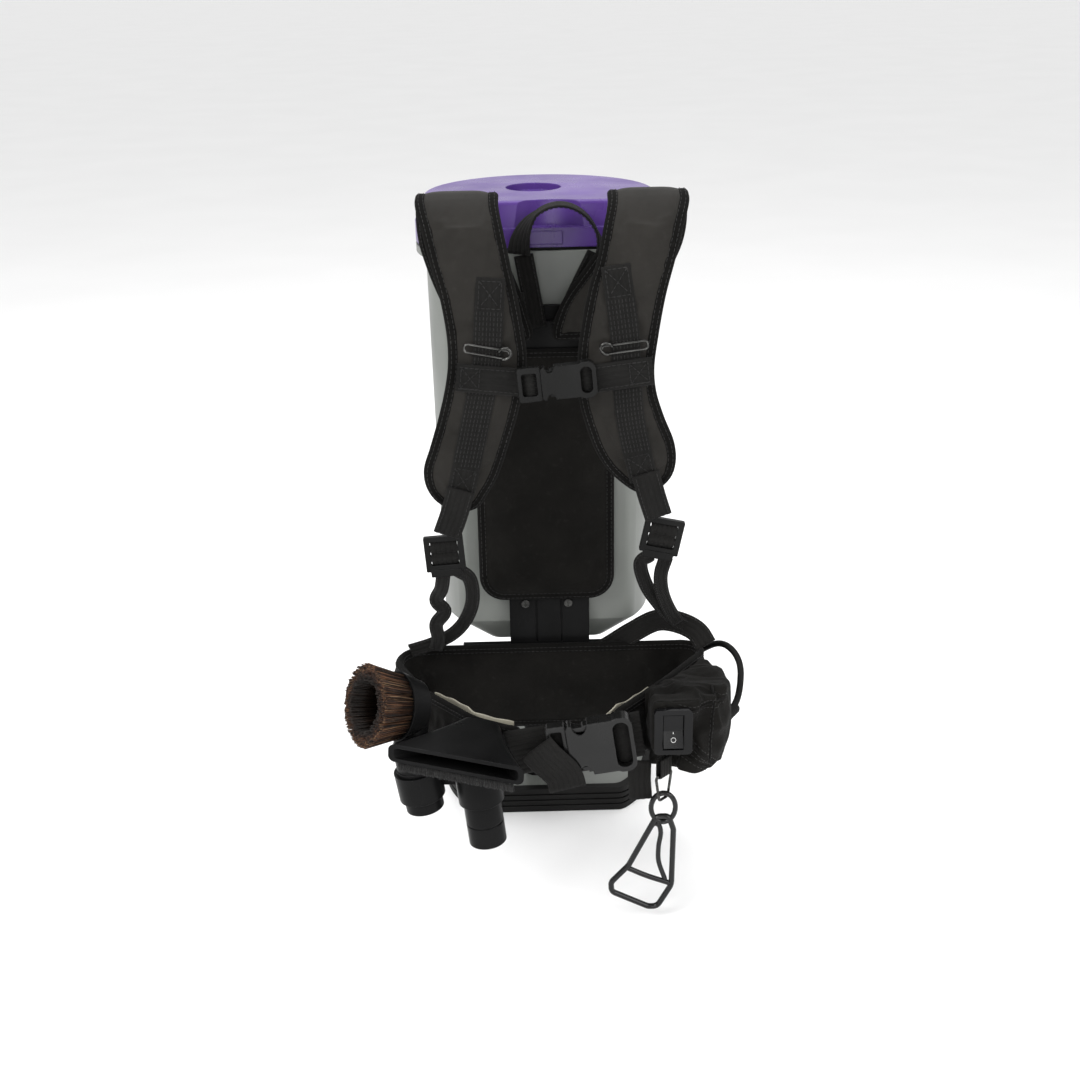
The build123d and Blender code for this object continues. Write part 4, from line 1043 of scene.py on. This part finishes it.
# --- carry handle: one flat band over the plate, with its legs down to the yoke ----
grip_low, grip_high = box_of("carry_handle")
grip_x, grip_inset = (grip_low[0] + grip_high[0]) / 2, 0.0015
grip_half, grip_rise = (grip_high[0] - grip_low[0]) / 2, grip_high[2] - grip_low[2]
arch_line = smooth_line([
    (grip_x - (grip_half - grip_inset) * cos(pi * k / 24), -0.084,
     grip_low[2] + (grip_rise - grip_inset) * sin(pi * k / 24)) for k in range(25)], 0.003)
twist = np.interp(np.linspace(0, 1, len(arch_line)), [0, 0.1, 0.32, 0.85, 1],
                  [1.15, 0.85, 0.0, 0.0, 0.4])[:, None]
arch_out = unit(np.cross(along_of(arch_line), (0, 1, 0)))
arch_band = Band(arch_line, np.cos(twist) * np.array([0, 1, 0]) + np.sin(twist) * arch_out)
fitted(arch_band.skin("handle_band", ribbed(0.0235, 0.0026, 5), WEBBING, "handle"),
       "webbing", "carry_handle")
threads("handle_stitches", rows_on(arch_band, (-0.0095, 0.0095), 0.0015), "handle")
for side_name, low_x, high_x, node in (("left", -5, -16.5, "handle_web"),
                                       ("right", 17, 50.5, None)):
    flat_web("handle_leg_" + side_name,
             [(low_x, -77.4, 521), ((low_x + high_x) / 2, -79.6, 556), (high_x, -82.6, 590)],
             (0, -1, 0.05), 0.018, node, ribs=4, thick=0.0022, sew=(-0.0068, 0.0068))

# --- web loop that holds the hook's wire link --------------------------------------
bar = np.array([0.099, -0.276, 0.157])
bar_side = unit(np.array([-1.0, 1.0, 0.0])) * 0.0026
above_bar = bar + np.array([0, 0, 0.0165])
loop = [above_bar + bar_side]
for k in range(9):
    loop.append(bar + bar_side * cos(pi * k / 8) - np.array([0, 0, 0.0026 * sin(pi * k / 8)]))
loop.append(above_bar - bar_side)
loop_band = Band(smooth_line(loop, 0.0012), unit(np.array([1.0, 1.0, 0.0])))
fitted(loop_band.skin("hook_web_loop", ribbed(0.0155, 0.0013, 4), WEBBING),
       "webbing", "hook_web")


# ============================ hair ============================================
def strands(name, roots, tips, thick, material, body, seed, bend, shades=None):
    """Thin tapering three-sided hairs from roots to tips, slightly curved."""
    chance = random.Random(seed)
    points, faces, uv = [], [], []
    for root, tip, shade in zip(roots, tips, shades or [1.0] * len(roots)):
        way = tip - root
        aside = unit(np.cross(way, [chance.uniform(-1, 1) for _ in range(3)]))
        cross = unit(np.cross(way, aside))
        bow = aside * np.linalg.norm(way) * bend * chance.uniform(-1, 1)
        tone = chance.random() * shade
        base = len(points)
        for step, girth in ((0, 1.0), (0.5, 0.9), (1, 0.55)):
            spot = root + way * step + bow * 4 * step * (1 - step)
            for turn in range(3):
                angle = 2 * pi * turn / 3
                points.append(spot + (aside * cos(angle) + cross * sin(angle)) * thick / 2 * girth)
                uv.append((tone, step))
        for ring in (base, base + 3):
            for turn, on in ((0, 1), (1, 2), (2, 0)):
                faces.append((ring + turn, ring + on, ring + 3 + on, ring + 3 + turn))
        faces += [(base + 6, base + 7, base + 8), (base + 2, base + 1, base)]
    return piece_from(name, points, faces, uv, material, body)


paint = Paint("horse_hair", Specular_IOR_Level=0.2)
tone, level_up = paint.apart()[:2]
brown = paint.ramp(
    tone, (0.0, (0.004, 0.003, 0.002)), (0.40, (0.016, 0.008, 0.005)),
    (0.66, (0.068, 0.027, 0.013)), (0.88, (0.135, 0.062, 0.030)), (1.0, (0.30, 0.19, 0.10)))
patch = paint.ramp(paint.noise(60, 4), (0.3, 0.45), (0.7, 1.0))
depth_shade = paint.ramp(level_up, (0.0, 0.25), (0.45, 0.7), (0.85, 1.0))
brown = paint.mix(1.0, paint.mix(1.0, brown, patch, "MULTIPLY"), depth_shade, "MULTIPLY")
HAIR = paint.finish(brown, paint.ramp(tone, (0.0, 0.42), (1.0, 0.62)))

TUFTS, HAIRS = 900, 9
GOLDEN_ANGLE = 2.399963
brush_way = unit(np.array([-0.808, -0.505, 0.303]))
brush_base = np.array([-0.165, -0.298, 0.245]) - brush_way * 0.034
brush_side = unit(np.cross(brush_way, [0, 0, 1]))
brush_up = np.cross(brush_side, brush_way)
chance = random.Random(11)
roots, tips, shades = [], [], []
inner, outer = 0.0182, 0.0285
for tuft in range(TUFTS):
    radius = sqrt(inner ** 2 + (outer ** 2 - inner ** 2) * chance.random())
    angle = tuft * GOLDEN_ANGLE
    radial = brush_side * cos(angle) + brush_up * sin(angle)
    grow = (radius - inner) / (outer - inner)
    tip_radius = 0.0225 + (0.0366 - 0.0225) * grow
    for hair in range(HAIRS):
        a, b, c, d, short = (chance.uniform(-1, 1) for _ in range(5))
        # inner tufts darker: painted shade in the hollow middle of the brush
        shades.append(0.3 + 0.7 * min(1.0, grow * 1.6))
        long = 0.0332 - 0.0010 * grow - 0.0013 * short ** 2
        roots.append(brush_base + radial * radius + (brush_side * a + brush_up * b) * 0.0007)
        tips.append(brush_base + brush_way * long + radial * tip_radius
                    + (brush_side * c + brush_up * d) * 0.0009)
fitted(strands("brush_hair", roots, tips, 0.0009, HAIR, "brush", 5, 0.016, shades),
       "bristle_hair", "brush_bristles")

# short bristles under the upholstery tool's mouth
CLUMPS = 104
lint_low, lint_high = box_of("lint_strip")
lint_way = np.array([cos(radians(-16)), sin(radians(-16)), 0])
roots, tips = [], []
for clump in range(CLUMPS):
    t = (2 * clump - CLUMPS + 1) / (CLUMPS - 1)
    spot = (lint_low + lint_high) / 2 + lint_way * t * 0.0505 + np.array([0, 0, -t * 0.0035])
    for hair in range(HAIRS):
        a, b, c, d = (chance.uniform(-1, 1) for _ in range(4))
        roots.append(spot + np.array([a * 0.0007, b * 0.0009, 0.0022]))
        tips.append(roots[-1] + np.array([c * 0.0009, -0.0016 + d * 0.0008,
                                          -0.0066 + 0.0006 * a]))
fitted(strands("lint_bristles", roots, tips, 0.0006, THREAD, "upholstery", 8, 0.02),
       "bristle_hair", "lint_strip")

# ============================ stiffener inside the belt =======================
inner_sign = np.sign(belt_track.left[0] @ inward[0])
for side_name, first, last, marks, rises in (
    ("right", belt_ends[0] + 0.004, belt_ends[0] + 0.085,
     (0, 0.18, 0.4, 1), (0.0024, 0.0022, -0.003, -0.004)),
    ("left", belt_ends[1] - 0.112, belt_ends[1] - 0.004,
     (0, 0.3, 0.8, 1), (-0.002, 0.0012, 0.0012, 0.0022)),
):
    stations = np.arange(first, last, 0.003)
    rise = np.interp((stations - first) / (last - first), marks, rises)
    plan = belt_track.at(stations, np.full(len(stations), inner_sign * 0.0078))
    thick = belt_track.at(stations, np.full(len(stations), inner_sign * 0.0066)) - plan
    tops = belt_top(plan[:, 1], plan[:, 0]) + rise
    points, uv = [], []
    for k, high in enumerate(tops):
        wave = 0.0004 * sin(k * 0.8)
        for layer, z in ((0, high - 0.022), (0, high + wave), (1, high + wave), (1, high - 0.022)):
            points.append((*(plan[k] + thick[k] * layer), z))
            uv.append((stations[k], z))
    faces = hoops(len(plan), 4)
    faces[:-2] = [(a, d, c, b) for a, b, c, d in faces[:-2]]
    strip = piece_from("stiffener_edge_" + side_name, points, faces, uv, KHAKI, smooth=False)
    fitted(strip, "khaki_plastic", *(["belt_stiffener"] if side_name == "left" else []))


# ============================ wire and rod pieces ============================
def rod(name, line, wide, deep, across, material, body="body", slot="black_gloss",
        closed=False, nodes=()):
    """A bent rod with an oval section; across is the way its width points."""
    piece = Band(line, across, closed).skin(name, oval(wide, deep), material, body)
    return fitted(piece, slot, *nodes)


def flat_path(corners, y, step=0.0015):
    """Closed rounded path in a plane of constant y, in millimetres."""
    plan = rounded_plan([((x * MM, z * MM), r * MM) for (x, z), r in corners])
    return np.insert(closed_line(plan, step), 1, y * MM, axis=1)


hook_y, DEPTH = -276.0, (0, 1, 0)
frame_path = flat_path([
    ((93, 112), 6), ((67.5, 60), 14), ((51.3, 42), 7), ((51.8, 32), 6), ((86, 14.4), 8),
    ((94.5, 14.2), 7), ((107.6, 38), 16), ((108.6, 98), 10), ((104, 112), 4),
], hook_y)
rod("hook_frame", frame_path, 0.0029, 0.0027, DEPTH, HOOK, "hook", closed=True,
    nodes=["cord_hook"])
eye = np.array([(99 + x, hook_y, 121.3 + z) for x, z in oval(11.1, 15.1, 40)]) * MM
rod("hook_eye", eye, 0.0026, 0.0024, DEPTH, HOOK, "hook", closed=True)
rod("hook_crossbar", smooth_mm([(66.5, hook_y, 57.5), (84, hook_y, 48.5),
                                (106, hook_y, 39.5)], 0.002),
    0.0025, 0.0025, DEPTH, HOOK, "hook")
rod("hook_tongue", smooth_mm([
    (88, hook_y, 101), (91, hook_y, 104.4), (95, hook_y, 103), (97, hook_y, 95),
    (95.2, hook_y, 80), (95.4, hook_y, 64), (101.5, hook_y, 44)], 0.002),
    0.0022, 0.0023, DEPTH, HOOK, "hook")

# wire loops on the shoulder straps, each with one end curled over
for side_name, (x0, z0), (x1, z1), nodes in (
    ("left", (-69, 536.5), (-31, 529.0), ["strap_rings"]),
    ("right", (87, 536.0), (48, 531.5), []),
):
    ring = flat_path([((x0, z0 + 3.6), 2.6), ((x1, z1 + 3.6), 2.6), ((x1, z1 - 3.6), 2.6),
                      ((x0, z0 - 3.6), 2.6)], -207.4, 0.001)
    rod("strap_ring_" + side_name, ring, 0.0011, 0.0011, DEPTH, WIRE, slot="dark_steel",
        closed=True, nodes=nodes)
    way = 1 if x1 > x0 else -1
    curl = [(x1 - way * 9, -208.4, z1 + 3.2), (x1 - way * 6, -209.6, z1 + 6.4),
            (x1 - way * 1, -209.8, z1 + 6.6), (x1 + way * 1.5, -209.4, z1 + 2.4),
            (x1 - way * 1.5, -208.8, z1 - 2.2), (x1 - way * 6, -208.6, z1 - 3.4)]
    rod("strap_ring_curl_" + side_name, smooth_mm(curl, 0.0012), 0.0013, 0.0013, (0, 1, 0.1),
        WIRE, slot="dark_steel")


# ============================ soft parts inside the canister ===================
def soft_copy(name, node, material, slot, ripple, finest=0.007, cell=45.0):
    """A rippled fabric copy of a soft CAD solid, with its cloth laid out by height."""
    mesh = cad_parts[node].data.copy()
    mesh.name = name
    work = bmesh.new()
    work.from_mesh(mesh)
    bmesh.ops.remove_doubles(work, verts=work.verts, dist=1e-6)
    for _ in range(4):
        long = [edge for edge in work.edges if edge.calc_length() > finest]
        if not long:
            break
        bmesh.ops.subdivide_edges(work, edges=long, cuts=1, use_grid_fill=True)
    bmesh.ops.triangulate(work, faces=work.faces)
    for vert in work.verts:
        swing = noise.noise(vert.co * cell) + 0.5 * noise.noise(vert.co * cell * 2.3)
        vert.co += vert.normal * (swing - 0.6) * ripple
    work.to_mesh(mesh)
    work.free()
    x, y, z = points_of(mesh).T
    finish_mesh(mesh, material, np.stack([x + y * 0.6, z + y * 0.3], 1))
    piece = added(name, mesh)
    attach(piece, "body")
    fitted(piece, slot, node)


soft_copy("cloth_filter_sock", "cloth_filter", FILTER, "filter_cloth", 0.0003)
soft_copy("dome_filter_felt", "dome_filter", FILTER, "filter_cloth", 0.0005)
soft_copy("exhaust_filter_felt", "exhaust_filter", FILTER, "filter_cloth", 0.0004)
soft_copy("paper_bag_collar", "bag_collar", PAPER, "bag_card", 0.00012)


# ============================ cable at the pod ===============================
cable_points = [
    (0.034, -0.030, 0.128), (0.074, -0.030, 0.128), (0.118, -0.050, 0.150),
    (0.153, -0.072, 0.178), (0.174, -0.098, 0.203), (0.190, -0.122, 0.193),
    (0.187, -0.142, 0.168), (0.178, -0.158, 0.156), (0.169, -0.169, 0.156),
]
sheath = bpy.data.curves.new("switch_cable_sheath", "CURVE")
sheath.dimensions = "3D"
sheath.bevel_depth, sheath.bevel_resolution, sheath.resolution_u = 0.00325, 6, 24
run = sheath.splines.new("NURBS")
run.points.add(len(cable_points) - 1)
for point, spot in zip(run.points, cable_points):
    point.co = (*spot, 1)
run.order_u = 3
run.use_endpoint_u = True
sheath.materials.append(RUBBER)
cable = added("switch_cable_sheath", sheath)
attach(cable, "body")
fitted(cable, "rubber", "switch_cable")

# strain relief where the cable enters the pod
RELIEF_RINGS, RELIEF_SIDES = 29, 20
relief_way = unit(np.array(cable_points[-1]) - np.array(cable_points[-2]))
relief_end = np.array(cable_points[-1]) + relief_way * 0.006
relief_side = unit(np.cross(relief_way, [0, 0, 1]))
relief_up = np.cross(relief_side, relief_way)
points, uv = [], []
for k in range(RELIEF_RINGS):
    t = k / (RELIEF_RINGS - 1)
    girth = 0.0068 - 0.0026 * t + (0.0007 if k % 4 in (1, 2) and 3 < k < 27 else 0.0)
    for j in range(RELIEF_SIDES):
        angle = 2 * pi * j / RELIEF_SIDES
        points.append(relief_end - relief_way * 0.026 * t
                      + (relief_side * cos(angle) + relief_up * sin(angle)) * girth)
        uv.append((angle * 0.006, k * 0.001))
fitted(piece_from("cable_relief", points, hoops(RELIEF_RINGS, RELIEF_SIDES), uv, RUBBER),
       "rubber")

# ============================ marks on the rocker ============================
rest_tilt, mark_slope = radians(8), radians(8 - 12.7)
rocker_out = np.array([0, -cos(rest_tilt), sin(rest_tilt)])
rocker_up = np.array([0, sin(rest_tilt), cos(rest_tilt)])
rocker_middle = np.array([0.106, -0.279, 0.204])


def on_rocker(down, x=0.0):
    """A spot on the lower half of the rocker's face, in millimetres from its middle."""
    return (rocker_middle + rocker_out * (5.05 + 3.5 * abs(down) / 15.5) * MM
            - rocker_up * down * MM + np.array([x * MM, 0, 0]))


ring_mark = np.array([on_rocker(8 + z, x) for x, z in oval(2.1, 2.1, 24)])
rod("switch_off_mark", ring_mark, 0.00035, 0.0002,
    (0, -cos(mark_slope), sin(mark_slope)), PRINT, "rocker", closed=True)
dash_mark = np.array([on_rocker(1.2 + 1.4 * t) for t in np.linspace(0, 1, 6)])
rod("switch_on_mark", dash_mark, 0.00035, 0.0002, (1, 0, 0), PRINT, "rocker")

# ============================ floor ==========================================
ground = bpy.data.meshes.new("floor")
ground.from_pydata([(x, y, -0.0005) for x, y in ((-40, -40), (40, -40), (40, 40), (-40, 40))],
                   [], [(0, 1, 2, 3)])
paint = Paint("pale_floor", 0.6)
ground.materials.append(paint.finish(
    paint.ramp(paint.noise(3, 2), (0.3, (0.88, 0.88, 0.88)), (0.7, (0.90, 0.90, 0.90)))))
added("floor", ground)
